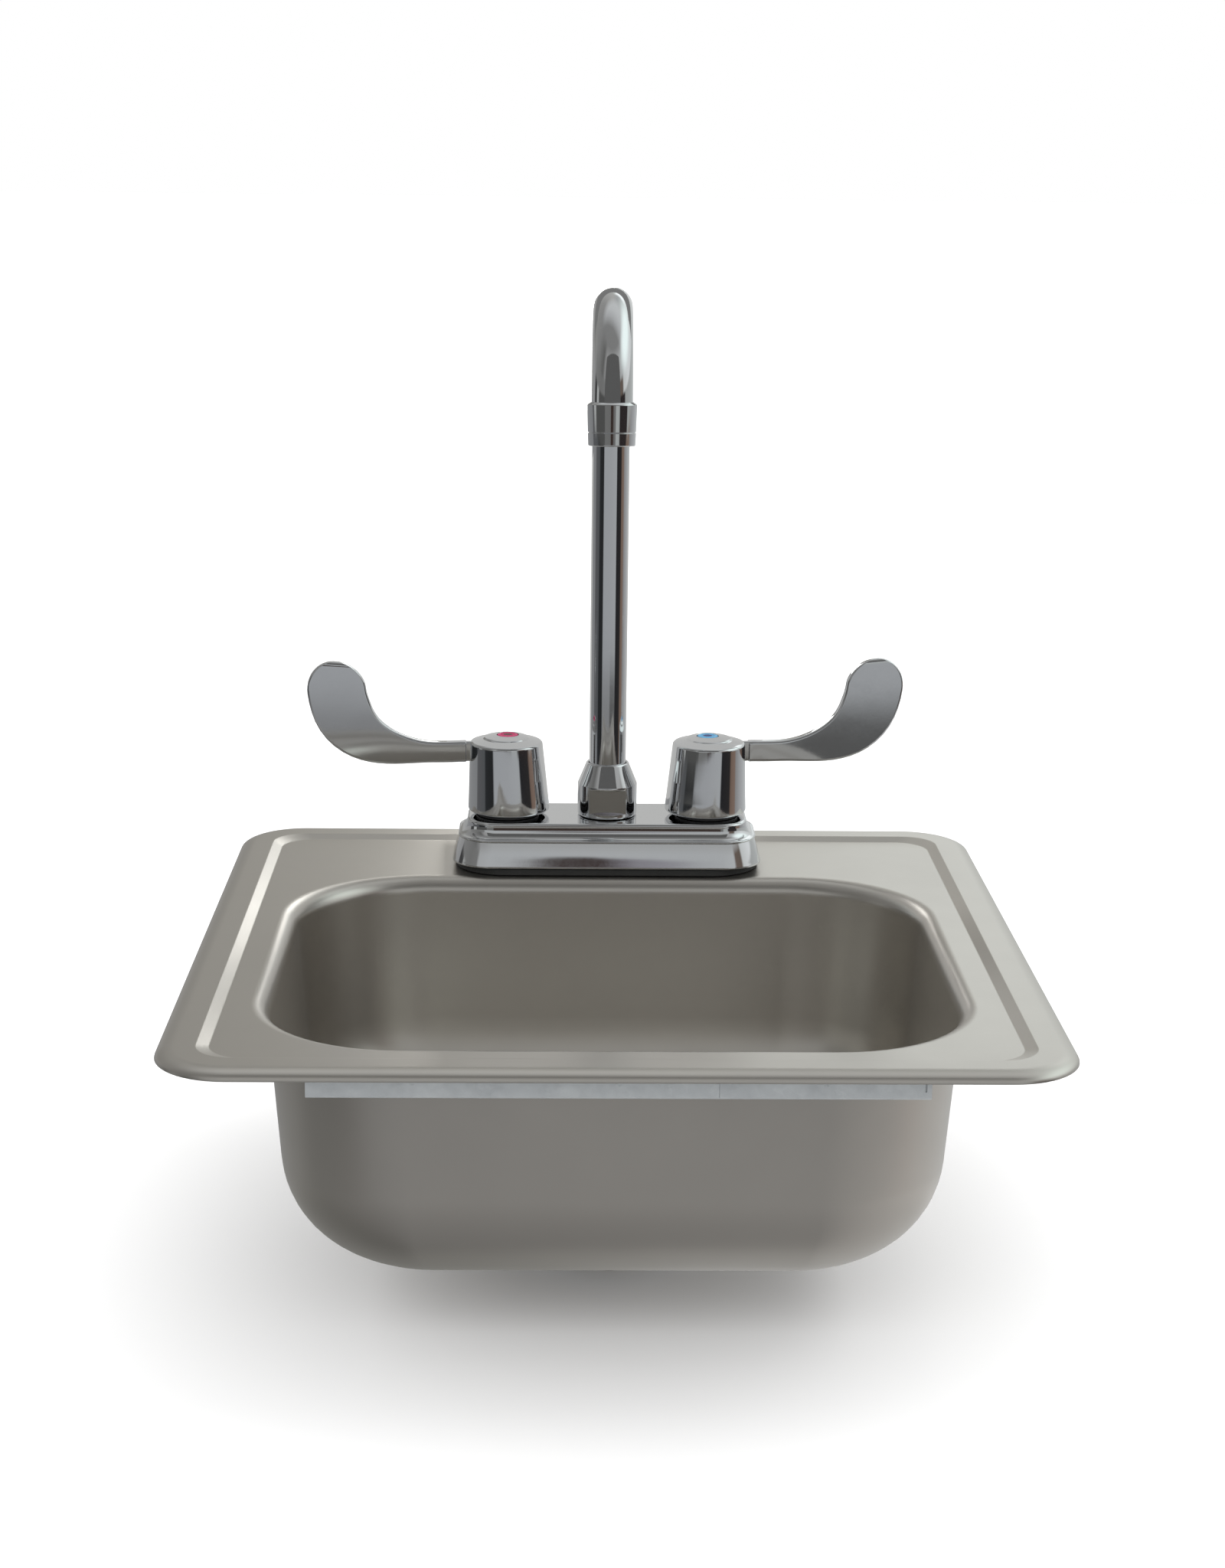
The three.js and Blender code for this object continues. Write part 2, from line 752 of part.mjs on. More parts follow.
function waterway() {
  const crossbar = new THREE.BoxGeometry(valveCentres, passageBarWide, passageBarWide);
  crossbar.translate(0, faucetY, (barTop + barBase) * half);
  const joins = [tidySolid(crossbar)];
  joins.push(moved(bar(spoutBossRadius, barBase, spoutBossTop, smallSides), 0, faucetY));
  const passage = bar(passageRadius, -valveCentres * half, valveCentres * half, holeSides);
  passage.rotateY(quarterTurn);
  passage.translate(0, faucetY, (barTop + barBase) * half);
  const cuts = [passage];
  cuts.push(drillHole(spoutBoreRadius, 0, faucetY, pocketFloor, spoutBossTop + overrun));
  [hotX, coldX].forEach((x) => {
    joins.push(moved(bar(valveBossRadius, waterwayBase, valveBossTop), x, faucetY));
    joins.push(moved(bar(shankRadius, shankEnd, waterwayBase + overrun, smallSides), x, faucetY));
    cuts.push(drillHole(valvePocketRadius, x, faucetY, pocketFloor, valveBossTop + overrun));
    cuts.push(drillHole(passageRadius, x, faucetY, waterwayBase, pocketFloor + overrun, holeSides));
    cuts.push(drillHole(shankBoreRadius, x, faucetY, shankEnd - overrun, waterwayBase + overrun, smallSides));
  });
  return shaped(joins, cuts);
}

addPiece('waterway', waterway(), brass);

// Pieces that come once for each valve
const washerTop = deckUnder - clearance;
const shankNutTop = washerTop - shankWasherThick - clearance;
const bonnetBase = plateTop + clearance;
const cartridgeRadius = valvePocketRadius - clearance;
const cartridgeFoot = pocketFloor + clearance;
const cartridgeSeat = valveBossTop + clearance;
const cartridgeBore = stemRadius + clearance;
const cartridgeTop = cartridgeSeat + cartridgeHexHigh + cartridgeNeckHigh;
const cavityTop = hubBase + hubCavityHigh;
const stemTop = cavityTop + stemEngagement - clearance;
const webTop = cavityTop + stemEngagement + hubWebThick;

function shankLocknut() {
  const low = shankNutTop - locknutHigh;
  const bore = bar(shankRadius + clearance, low - overrun, shankNutTop + overrun, smallSides);
  return shaped([pushed(hexagon(locknutAcross), low, shankNutTop)], [bore]);
}

// Cartridge: sleeve in the pocket with side windows, a hexagon above and a neck round the stem
function valveCartridge() {
  const sleeve = bar(cartridgeRadius, cartridgeFoot, cartridgeSeat + overrun, smallSides);
  const hex = pushed(hexagon(cartridgeHexAcross), cartridgeSeat, cartridgeSeat + cartridgeHexHigh);
  const neck = bar(cartridgeNeckRadius, cartridgeSeat, cartridgeTop, smallSides);
  const window = new THREE.BoxGeometry(valveCentres, passageRadius * 2, cartridgeWindowHigh);
  window.translate(0, 0, (barTop + barBase) * half);
  const bore = bar(cartridgeBore, cartridgeFoot - overrun, cartridgeTop + overrun, smallSides);
  return shaped([sleeve, hex, neck], [tidySolid(window), bore]);
}

// Stem: fluted where the handle grips it, tapped for the handle's screw
function valveStem() {
  const flutes = new THREE.Shape();
  const points = stemFluteCount * 2;
  for (let point = 0; point < points; point += 1) {
    const angle = (point / points) * 2 * Math.PI;
    const reach = point % 2 === 0 ? stemRadius : stemRadius - stemFluteDeep;
    const [x, y] = [reach * Math.cos(angle), reach * Math.sin(angle)];
    if (point === 0) flutes.moveTo(x, y);
    else flutes.lineTo(x, y);
  }
  flutes.closePath();
  const stemFoot = cartridgeSeat - cartridgeWall;
  const spline = pushed(flutes, cartridgeTop - overrun, stemTop);
  const shaft = bar(stemRadius, stemFoot, cartridgeTop, smallSides);
  const tapping = bar(screwRadius + clearance, webTop - screwLong - overrun, stemTop + overrun, holeSides);
  return shaped([shaft, spline], [tapping]);
}

// Screw: pan head in the hub's counterbore, shank through the web into the stem
function handleScrew() {
  const headLow = webTop + clearance;
  return turned([
    [0, headLow - screwLong],
    [screwRadius, headLow - screwLong],
    [screwRadius, headLow],
    [screwHeadRadius, headLow],
    [screwHeadRadius, headLow + screwHeadHigh * half],
    [screwHeadRadius * half, headLow + screwHeadHigh],
    [0, headLow + screwHeadHigh],
  ], smallSides);
}

// Button: shallow cap pressed into the top of the hub, over the screw
function indexButton() {
  const low = webTop + screwHeadHigh + 2 * clearance;
  return turned([
    [0, low],
    [buttonRadius, low],
    [buttonRadius, hubTop - buttonBevel],
    [buttonRadius - buttonBevel, hubTop],
    [0, hubTop],
  ], smallSides);
}

// Hub of the handle: leaning, tapered thimble with a domed top, as rings from the foot up.
// The lever leaves towards +X.
function hubCentreAt(z) {
  return hubLean * Math.min((z - hubBase) / hubHigh, 1) - hubFootShift;
}

function hubOutside() {
  const rings = [];
  const ring = (radius, z) => circleRing(radius, hubCentreAt(z), 0, z, roundSides);
  const rimFoot = hubRim - hubEdgeRadius;
  const taperAt = (z) => hubRadius + (hubTopRadius - hubRadius) * ((z - hubBase) / hubHigh);
  rings.push(ring(hubRadius - hubEdgeRadius * half, hubBase));
  rings.push(ring(taperAt(hubBase + hubEdgeRadius * half), hubBase + hubEdgeRadius * half));
  rings.push(ring(taperAt(rimFoot), rimFoot));
  rings.push(ring(taperAt(rimFoot) - hubEdgeRadius * (1 - Math.cos(quarterTurn * half)),
    rimFoot + hubEdgeRadius * Math.sin(quarterTurn * half)));
  const domeRadius = hubTopRadius - hubEdgeRadius;
  for (let step = 0; step < domeSteps; step += 1) {
    const share = step / domeSteps;
    rings.push(ring(domeRadius * (1 - share), hubRim + hubDomeRise * (1 - (1 - share) ** 2)));
  }
  return loft(rings);
}

function hubCavity() {
  const wideAt = (share) => hubRadius + (hubTopRadius - hubRadius) * share - hubWall;
  const share = hubCavityHigh / hubHigh;
  return loft([
    circleRing(wideAt(0), hubCentreAt(hubBase), 0, hubBase - overrun, roundSides),
    circleRing(wideAt(share), hubCentreAt(cavityTop), 0, cavityTop, roundSides),
  ]);
}

// Lever: a blade lofted along a curve, level at the hub and sweeping up to a round paddle
const leverStart = hubTopRadius * half;
const leverArmZ = hubRim - leverArmBelowRim;
const leverTipZ = hubTop + leverRise;
const leverTipX = leverReach - leverPaddleWide * half + leverPaddleThick * half;
const leverCurve = new THREE.CubicBezierCurve3(
  new THREE.Vector3(leverStart, 0, leverArmZ),
  new THREE.Vector3(leverReach * leverNearPullShare, 0, leverArmZ - leverArmHigh * leverSagShare),
  new THREE.Vector3(leverReach * leverFarPullShare, 0, leverArmZ - leverArmHigh * leverSagShare),
  new THREE.Vector3(leverTipX, 0, leverTipZ),
);

// Half width in the plane of the blade, by share of its length, before the tip rounds it off
function leverWidthAt(share) {
  const swell = THREE.MathUtils.smoothstep(share, leverSwellStartShare, leverSwellEndShare);
  return THREE.MathUtils.lerp(leverArmHigh, leverPaddleWide, swell) * half;
}

function leverThickAt(share) {
  return THREE.MathUtils.lerp(leverArmThick, leverPaddleThick, share) * half;
}

function leverBlade() {
  const tipStart = 1 - (leverPaddleWide * half) / leverCurve.getLength();
  const stations = [];
  for (let step = 0; step < leverBodySteps; step += 1) {
    stations.push({ share: (step / leverBodySteps) * tipStart, round: 1 });
  }
  for (let step = 0; step < leverTipSteps; step += 1) {
    const angle = (step / leverTipSteps) * quarterTurn;
    stations.push({ share: tipStart + (1 - tipStart) * Math.sin(angle), round: Math.cos(angle) });
  }
  const rings = stations.map(({ share, round }) => {
    const centre = leverCurve.getPointAt(share);
    const along = leverCurve.getTangentAt(share);
    const across = new THREE.Vector3(-along.z, 0, along.x);
    const [wide, thick] = [leverWidthAt(share) * round, leverThickAt(share)];
    const ring = [];
    for (let side = 0; side < leverSides; side += 1) {
      const angle = (side / leverSides) * 2 * Math.PI;
      const [c, s] = [Math.cos(angle), Math.sin(angle)];
      const flat = Math.sign(c) * Math.abs(c) ** leverFlatnessShare * wide;
      const deep = Math.sign(s) * Math.abs(s) ** leverSquarenessShare * thick;
      const point = centre.clone().addScaledVector(across, flat);
      point.y += deep;
      ring.push(point);
    }
    return ring;
  });
  return loft(rings);
}

function handle() {
  const broach = bar(stemRadius + clearance, cavityTop - overrun, cavityTop + stemEngagement, smallSides);
  const screwHole = bar(screwRadius + clearance, cavityTop, webTop + overrun, holeSides);
  const buttonWell = bar(buttonRadius + clearance, webTop, hubTop + overrun, smallSides);
  return shaped([hubOutside(), leverBlade()], [hubCavity(), broach, screwHole, buttonWell]);
}

// Both valves from the same pieces; at rest the hot handle points to the left and a little
// forward, and the cold handle to the right and a little back
const valves = [
  { side: 'hot', x: hotX, turn: hotRestTurn * degree, button: hotPlastic },
  { side: 'cold', x: coldX, turn: coldRestTurn * degree, button: coldPlastic },
];
valves.forEach(({ side, x, turn, button }) => {
  const valve = new THREE.Group();
  valve.position.set(x, faucetY, 0);
  product.add(valve);
  const turning = new THREE.Group();
  turning.rotation.z = turn;
  valve.add(turning);
  const washer = collar(
    shankRadius + clearance, shankWasherRadius, washerTop - shankWasherThick, washerTop, smallSides,
  );
  const bonnet = collar(
    valveBossRadius + clearance, bonnetRadius, bonnetBase, bonnetBase + bonnetHigh, smallSides,
  );
  addPiece(`${side}_shank_washer`, washer, zincSteel, valve);
  addPiece(`${side}_shank_locknut`, shankLocknut(), brass, valve);
  addPiece(`${side}_bonnet_ring`, bonnet, zincSteel, valve);
  addPiece(`${side}_cartridge`, valveCartridge(), brass, valve);
  addPiece(`${side}_stem`, valveStem(), brass, turning);
  addPiece(`${side}_handle`, handle(), chrome, turning);
  addPiece(`${side}_handle_screw`, handleScrew(), zincSteel, turning);
  addPiece(`${side}_index_button`, indexButton(), button, turning);
});

// Spout: bent tube on a flanged ferrule, held down on its boss by the coupling nut
const flangeBase = spoutBossTop + clearance;
const flangeTopZ = flangeBase + ferruleFlangeHigh;
const ferruleRadius = spoutBoreRadius - clearance;
const ferruleFoot = flangeBase - ferruleLong;
const tubeFoot = flangeTopZ + clearance;
const tubeBore = spoutTubeRadius - spoutTubeWall;
const bendCentreZ = spoutTopHeight - spoutTubeRadius - spoutBendRadius;
const flangeRadius = spoutBossRadius - clearance;
const nutBase = plateTop + clearance;
const nutShoulder = flangeTopZ + 2 * clearance + spoutWasherThick;

function spoutFerrule() {
  const sleeve = tubeBore - clearance;
  const bore = sleeve - ferruleWall;
  const ringZ = ferruleFoot + oRingRise;
  const groove = oRingRadius + clearance;
  const lip = ferruleRadius - 2 * oRingRadius;
  return turned([
    [bore, ferruleFoot],
    [ferruleRadius, ferruleFoot],
    [ferruleRadius, ringZ - groove],
    [lip, ringZ - groove],
    [lip, ringZ + groove],
    [ferruleRadius, ringZ + groove],
    [ferruleRadius, flangeBase],
    [flangeRadius, flangeBase],
    [flangeRadius, flangeTopZ],
    [sleeve, flangeTopZ],
    [sleeve, tubeFoot + ferruleFlangeHigh],
    [bore, tubeFoot + ferruleFlangeHigh],
    [bore, ferruleFoot],
  ], smallSides);
}

function spoutSeal() {
  const profile = [];
  const middle = ferruleRadius - oRingRadius + clearance * half;
  for (let step = 0; step <= sealSteps; step += 1) {
    const angle = (step / sealSteps) * 2 * Math.PI;
    profile.push([
      middle + oRingRadius * Math.cos(angle),
      ferruleFoot + oRingRise + oRingRadius * Math.sin(angle),
    ]);
  }
  return turned(profile, smallSides);
}

// Centreline of the tube in the plane of the spout, as places with a direction and a bend share
function spoutStations() {
  const stations = [{ y: 0, z: tubeFoot, lean: 0, bend: 0 }, { y: 0, z: bendCentreZ, lean: 0, bend: 0 }];
  const sweep = Math.PI - spoutOutletTilt * degree;
  for (let step = 1; step <= bendSteps; step += 1) {
    const lean = (step / bendSteps) * sweep;
    stations.push({
      y: -spoutBendRadius * (1 - Math.cos(lean)),
      z: bendCentreZ + spoutBendRadius * Math.sin(lean),
      lean,
      bend: Math.sin(lean * half),
    });
  }
  const end = stations[stations.length - 1];
  stations.push({
    y: end.y - spoutTailLong * Math.sin(end.lean),
    z: end.z + spoutTailLong * Math.cos(end.lean),
    lean: end.lean,
    bend: 1,
  });
  return stations;
}

// Cross-section of the tube, a little wider than high where the bend has pressed it
function tubeRing({ y, z, lean, bend }, radius) {
  const ring = [];
  for (let side = 0; side < smallSides; side += 1) {
    const angle = (side / smallSides) * 2 * Math.PI;
    const wide = radius * (1 + spoutOvalShare * bend) * Math.cos(angle);
    const high = radius * Math.sin(angle);
    ring.push(new THREE.Vector3(wide, y + high * Math.cos(lean), z + high * Math.sin(lean)));
  }
  return ring;
}

function spoutTube() {
  const stations = spoutStations();
  const outside = stations.map((station) => tubeRing(station, spoutTubeRadius));
  const inside = stations.map((station) => tubeRing(station, tubeBore)).reverse();
  return loft([...outside, ...inside], true);
}

// Nut: round body with two wrench flats, under a cone
function spoutNut() {
  const coneBase = nutBase + nutHigh;
  const coneTop = coneBase + nutConeHigh;
  const threadRadius = spoutBossRadius + clearance;
  const tubeHole = spoutTubeRadius + clearance;
  const body = turned([
    [tubeHole, coneTop - nutChamfer * half],
    [tubeHole, nutShoulder],
    [threadRadius, nutShoulder],
    [threadRadius, nutBase],
    [nutRadius - nutChamfer, nutBase],
    [nutRadius, nutBase + nutChamfer],
    [nutRadius, coneBase],
    [nutTopRadius, coneTop - nutChamfer * half],
    [nutTopRadius - nutChamfer * half, coneTop],
    [tubeHole + nutChamfer * half, coneTop],
    [tubeHole, coneTop - nutChamfer * half],
  ]);
  const flatOffset = Math.sqrt(nutRadius ** 2 - nutFlatHalfWide ** 2);
  const [flatLow, flatTop] = [nutBase + nutFlatRise, coneBase - nutFlatDrop];
  const flats = [1, -1].map((side) => {
    const cut = new THREE.BoxGeometry(nutRadius * 2, nutRadius, flatTop - flatLow);
    cut.translate(0, side * (flatOffset + nutRadius * half), (flatTop + flatLow) * half);
    return tidySolid(cut);
  });
  return shaped([body], flats);
}

addPiece('spout_nut', moved(spoutNut(), 0, faucetY), chrome);
const spoutWasherBase = flangeTopZ + clearance;
addPiece('spout_washer', moved(collar(
  spoutTubeRadius + clearance, flangeRadius, spoutWasherBase, spoutWasherBase + spoutWasherThick, smallSides,
), 0, faucetY), nylon);

// The spout at rest is turned a little to the left
const spout = new THREE.Group();
spout.position.set(0, faucetY, 0);
spout.rotation.z = -spoutRestTurn * degree;
product.add(spout);
addPiece('spout_ferrule', spoutFerrule(), brass, spout);
addPiece('spout_seal', spoutSeal(), rubber, spout);
addPiece('spout_tube', spoutTube(), chrome, spout);

// Aerator: housing on the end of the tube, with a washer and a screen inside
const outlet = spoutStations().pop();
const aerator = new THREE.Group();
aerator.position.set(0, outlet.y, outlet.z);
aerator.rotation.x = outlet.lean;
spout.add(aerator);

const tubeEndWide = spoutTubeRadius * (1 + spoutOvalShare);
const housingBore = tubeEndWide + clearance;
const housingEnd = aeratorHigh - aeratorLap;
const washerTopZ = clearance;

// Heights run along the outlet, from the tube's end away from the tube
function aeratorHousing() {
  const grooveZ = housingEnd - aeratorGrooveRise;
  const lip = aeratorEndRadius - aeratorWall * 2;
  return turned([
    [housingBore, -aeratorLap],
    [aeratorTopRadius - aeratorShoulder * half, -aeratorLap],
    [aeratorTopRadius, -aeratorLap + aeratorShoulder * half],
    [aeratorEndRadius, grooveZ - aeratorGroove],
    [aeratorEndRadius - aeratorGroove, grooveZ],
    [aeratorEndRadius, grooveZ + aeratorGroove],
    [aeratorEndRadius, housingEnd - aeratorGroove * 2],
    [aeratorEndRadius - aeratorGroove * 2, housingEnd],
    [lip, housingEnd],
    [lip, housingEnd - aeratorWall],
    [housingBore, housingEnd - aeratorWall],
    [housingBore, -aeratorLap],
  ]);
}

function aeratorScreen() {
  const low = washerTopZ + washerThick + clearance;
  const radius = housingBore - clearance;
  const holes = [];
  for (let hole = 0; hole < screenHoleCount; hole += 1) {
    const angle = (hole / screenHoleCount) * 2 * Math.PI;
    const reach = radius * screenHoleRingShare;
    holes.push(drillHole(
      screenHoleRadius, reach * Math.cos(angle), reach * Math.sin(angle),
      low - overrun, low + screenThick + overrun, holeSides,
    ));
  }
  return shaped([bar(radius, low, low + screenThick, smallSides)], holes);
}

addPiece('aerator_housing', aeratorHousing(), chrome, aerator);
addPiece('aerator_washer', collar(
  tubeBore, housingBore - clearance, washerTopZ, washerTopZ + washerThick, smallSides,
), rubber, aerator);
addPiece('aerator_screen', aeratorScreen(), greyPlastic, aerator);

export default product;
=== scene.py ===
"""Drop-in stainless sink with a two-handle gooseneck faucet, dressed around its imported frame.

The classes below model each sub-assembly in millimetres, in the frame's own axes, and scale
the finished meshes to metres. Sizes are dataclass fields; places come from the frame's nodes.
"""

import logging
import math
from collections.abc import Callable, Sequence
from dataclasses import dataclass, field
from enum import Enum

import bmesh
import bpy
from bpy.types import ID, Material, Node, NodeInputs, NodeSocket, NodeTree, Object, World
from mathutils import Matrix, Vector


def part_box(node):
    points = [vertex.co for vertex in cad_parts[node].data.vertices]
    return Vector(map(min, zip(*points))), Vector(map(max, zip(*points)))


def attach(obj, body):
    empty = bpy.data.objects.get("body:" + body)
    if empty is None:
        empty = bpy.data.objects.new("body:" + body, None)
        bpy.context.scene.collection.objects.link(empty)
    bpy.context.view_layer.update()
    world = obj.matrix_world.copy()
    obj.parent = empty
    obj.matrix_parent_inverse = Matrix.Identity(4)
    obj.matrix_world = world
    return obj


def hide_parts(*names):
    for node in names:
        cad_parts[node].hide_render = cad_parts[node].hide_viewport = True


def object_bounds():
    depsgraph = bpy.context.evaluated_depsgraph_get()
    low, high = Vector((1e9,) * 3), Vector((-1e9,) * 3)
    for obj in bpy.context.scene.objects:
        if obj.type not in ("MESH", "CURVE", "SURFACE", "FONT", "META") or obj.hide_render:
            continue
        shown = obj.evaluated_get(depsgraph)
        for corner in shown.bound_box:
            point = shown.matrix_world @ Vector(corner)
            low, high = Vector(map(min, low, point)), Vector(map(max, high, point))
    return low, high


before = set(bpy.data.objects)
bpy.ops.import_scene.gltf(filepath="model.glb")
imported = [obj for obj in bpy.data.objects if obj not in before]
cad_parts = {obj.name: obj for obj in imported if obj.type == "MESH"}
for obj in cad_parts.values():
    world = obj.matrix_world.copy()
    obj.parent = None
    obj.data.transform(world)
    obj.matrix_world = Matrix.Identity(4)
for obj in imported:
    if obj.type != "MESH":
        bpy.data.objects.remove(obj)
CAD_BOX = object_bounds()

LOG = logging.getLogger("sink")
MM = 0.001
HALF = 0.5
FULL_TURN = 2 * math.pi
QUARTER_TURN = math.pi / 2
MERGE_GAP = 0.0005
HAIR = 0.01
ROUND_PROFILE = 0.5
NEARLY_WHOLE = 0.999

Loop = list[bmesh.types.BMEdge]
Pair = tuple[float, float]
Profile = Sequence[Pair]
Colour = tuple[float, float, float]


class Body(Enum):
    """Bodies of the frame that a piece can ride on."""

    SINK = "sink"
    HOT = "hot_handle"
    COLD = "cold_handle"
    SPOUT = "spout"
    BASKET = "drain_basket"


class Cut(Enum):
    """Ways of combining a mesh with a tool."""

    AWAY = "DIFFERENCE"
    JOIN = "UNION"
    COMMON = "INTERSECT"


@dataclass(frozen=True)
class Extent:
    """Box of a frame node at rest, in millimetres."""

    low: Vector
    high: Vector

    @classmethod
    def of(cls, node: str) -> "Extent":
        """Box of the named node."""
        low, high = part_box(node)
        return cls(low / MM, high / MM)

    @property
    def centre(self) -> Vector:
        """Middle of the box."""
        return (self.low + self.high) * HALF

    @property
    def size(self) -> Vector:
        """Length of each side."""
        return self.high - self.low


def lerp(start: float, end: float, share: float) -> float:
    """Value a share of the way from start to end."""
    return start + (end - start) * share


def shares(steps: int, first: int = 0) -> list[float]:
    """Even shares from 0 to 1, or from a later step to 1."""
    return [step / steps for step in range(first, steps + 1)]


def round_angles(count: int) -> list[float]:
    """Even angles round a full turn."""
    return [FULL_TURN * index / count for index in range(count)]


def smooth_share(share: float, low: float, high: float) -> float:
    """Smooth step of a share between two bounds, from 0 to 1."""
    t = min(max((share - low) / (high - low), 0.0), 1.0)
    return t * t * (3 - 2 * t)


def about(centre: Vector, angle: float) -> Matrix:
    """Turn by an angle about Z, followed by a move from the origin to a centre's place."""
    return Matrix.Translation((*centre.xy, 0)) @ Matrix.Rotation(angle, 4, "Z")


def new_object(name: str, data: ID) -> Object:
    """Puts an object in the scene.

    Args:
        name: Its name.
        data: Its mesh, light or camera.

    Returns:
        The object.
    """
    made = bpy.data.objects.new(name, data)
    bpy.context.scene.collection.objects.link(made)
    return made


def merge_doubles(bm: bmesh.types.BMesh) -> None:
    """Merges vertices that lie together and drops what has no area."""
    bmesh.ops.remove_doubles(bm, verts=bm.verts, dist=MERGE_GAP)
    bmesh.ops.dissolve_degenerate(bm, edges=bm.edges, dist=MERGE_GAP)


def arc(centre: Pair, radius: float, start: float, end: float,
        steps: int) -> list[Pair]:
    """Points of an arc in a profile.

    Args:
        centre: Radius and height of the arc's centre.
        radius: Radius of the arc.
        start: First angle in degrees, from the outward direction.
        end: Last angle in degrees.
        steps: Number of spans.

    Returns:
        Pairs of radius and height.
    """
    angles = [math.radians(lerp(start, end, share)) for share in shares(steps)]
    return [(centre[0] + radius * math.cos(angle), centre[1] + radius * math.sin(angle))
            for angle in angles]


@dataclass
class Blank:
    """A mesh in the making, in millimetres, shaped by mesh operators."""

    name: str
    bm: bmesh.types.BMesh = field(default_factory=bmesh.new)

    def circle(self, radius: float, z: float = 0.0, centre: Pair = (0.0, 0.0),
               sides: int = 64, place: Matrix | None = None) -> Loop:
        """Loop of edges round a circle.

        Args:
            radius: Radius of the circle.
            z: Height of the circle.
            centre: Place of its centre.
            sides: Number of edges.
            place: Matrix that is applied last.

        Returns:
            The edges of the loop.
        """
        matrix = Matrix.Translation((*centre, z))
        if place is not None:
            matrix = place @ matrix
        made = bmesh.ops.create_circle(self.bm, cap_ends=False, segments=sides, radius=radius,
                                       matrix=matrix)
        return list({edge for vertex in made["verts"] for edge in vertex.link_edges})

    def rounded(self, half_x: float, half_y: float, corner: float, z: float = 0.0,
                centre: Pair = (0.0, 0.0), steps: int = 12,
                place: Matrix | None = None) -> Loop:
        """Loop of edges round a rectangle with rounded corners.

        Args:
            half_x: Half of its width.
            half_y: Half of its depth.
            corner: Radius of its corners.
            z: Height of the loop.
            centre: Place of its centre.
            steps: Edges in each corner.
            place: Matrix that is applied last.

        Returns:
            The edges of the loop.
        """
        before = set(self.bm.edges)
        matrix = Matrix.Translation((*centre, z)) @ Matrix.Diagonal((2 * half_x, 2 * half_y, 1, 1))
        made = bmesh.ops.create_grid(self.bm, x_segments=1, y_segments=1, size=HALF, matrix=matrix)
        radius = min(corner, half_x * NEARLY_WHOLE, half_y * NEARLY_WHOLE)
        bmesh.ops.bevel(self.bm, geom=list(made["verts"]), offset=radius, offset_type="OFFSET",
                        segments=steps, profile=ROUND_PROFILE, affect="VERTICES",
                        clamp_overlap=False, material=-1)
        edges = [edge for edge in self.bm.edges if edge not in before]
        faces = list({face for edge in edges for face in edge.link_faces})
        bmesh.ops.delete(self.bm, geom=faces, context="FACES_ONLY")
        if place is not None:
            verts = list({vertex for edge in edges for vertex in edge.verts})
            bmesh.ops.transform(self.bm, matrix=place, verts=verts)
        return edges

    def skin(self, loops: Sequence[Loop], joined: bool = False) -> None:
        """Faces from each loop to the next, and from the last to the first if joined.

        Args:
            loops: The loops in order.
            joined: Whether the last joins the first.
        """
        pairs = list(zip(loops, loops[1:]))
        if joined:
            pairs.append((loops[-1], loops[0]))
        for near, far in pairs:
            self._part(near, far)
            bmesh.ops.bridge_loops(self.bm, edges=near + far)

    def _part(self, near: Loop, far: Loop) -> None:
        """Lifts a loop a hair off another in its plane, so that a bridge knows its direction.

        Args:
            near: The loop that stays.
            far: The loop that is lifted.
        """
        rings = [list({vertex for edge in loop for vertex in edge.verts}) for loop in (near, far)]
        middles = [sum((vertex.co for vertex in ring), Vector()) / len(ring) for ring in rings]
        corners = [rings[1][index].co for index in (0, len(rings[1]) // 3, len(rings[1]) * 2 // 3)]
        normal = (corners[1] - corners[0]).cross(corners[2] - corners[0]).normalized()
        if abs((middles[1] - middles[0]).dot(normal)) < HAIR * HALF:
            bmesh.ops.translate(self.bm, vec=normal * HAIR, verts=rings[1])

    def cap(self, loop: Loop, inset: float = 0.0) -> None:
        """Closes a loop with one face, with a narrow inset round it if asked.

        Args:
            loop: Edges of the loop.
            inset: Width of the inset.
        """
        made = bmesh.ops.contextual_create(self.bm, geom=loop)
        if inset:
            bmesh.ops.inset_individual(self.bm, faces=made["faces"], thickness=inset, depth=0,
                                       use_even_offset=True)

    def turn(self, profile: Profile, sides: int = 64, centre: Sequence[float] = (0, 0)) -> None:
        """Spins a profile about an upright axis.

        Args:
            profile: Pairs of radius and height; off the axis, the last joins the first.
            sides: Number of steps in the turn.
            centre: Place of the axis.
        """
        verts = [self.bm.verts.new((radius, 0, z)) for radius, z in profile]
        edges = [self.bm.edges.new(pair) for pair in zip(verts, verts[1:])]
        if profile[0][0]:
            edges.append(self.bm.edges.new((verts[-1], verts[0])))
        known = set(self.bm.verts) - set(verts)
        bmesh.ops.spin(self.bm, geom=verts + edges, cent=(0, 0, 0), axis=(0, 0, 1),
                       dvec=(0, 0, 0), angle=FULL_TURN, steps=sides, use_merge=True,
                       use_duplicate=False)
        fresh = [vertex for vertex in self.bm.verts if vertex not in known]
        bmesh.ops.translate(self.bm, vec=(*centre, 0), verts=fresh)

    def prism(self, loop: Loop, rise: float) -> None:
        """Pushes a capped loop straight up into a closed prism.

        Args:
            loop: Edges of the loop.
            rise: Height of the prism.
        """
        made = bmesh.ops.contextual_create(self.bm, geom=loop)
        grown = bmesh.ops.extrude_face_region(self.bm, geom=made["faces"], use_keep_orig=True)
        verts = [item for item in grown["geom"] if isinstance(item, bmesh.types.BMVert)]
        bmesh.ops.translate(self.bm, vec=(0, 0, rise), verts=verts)

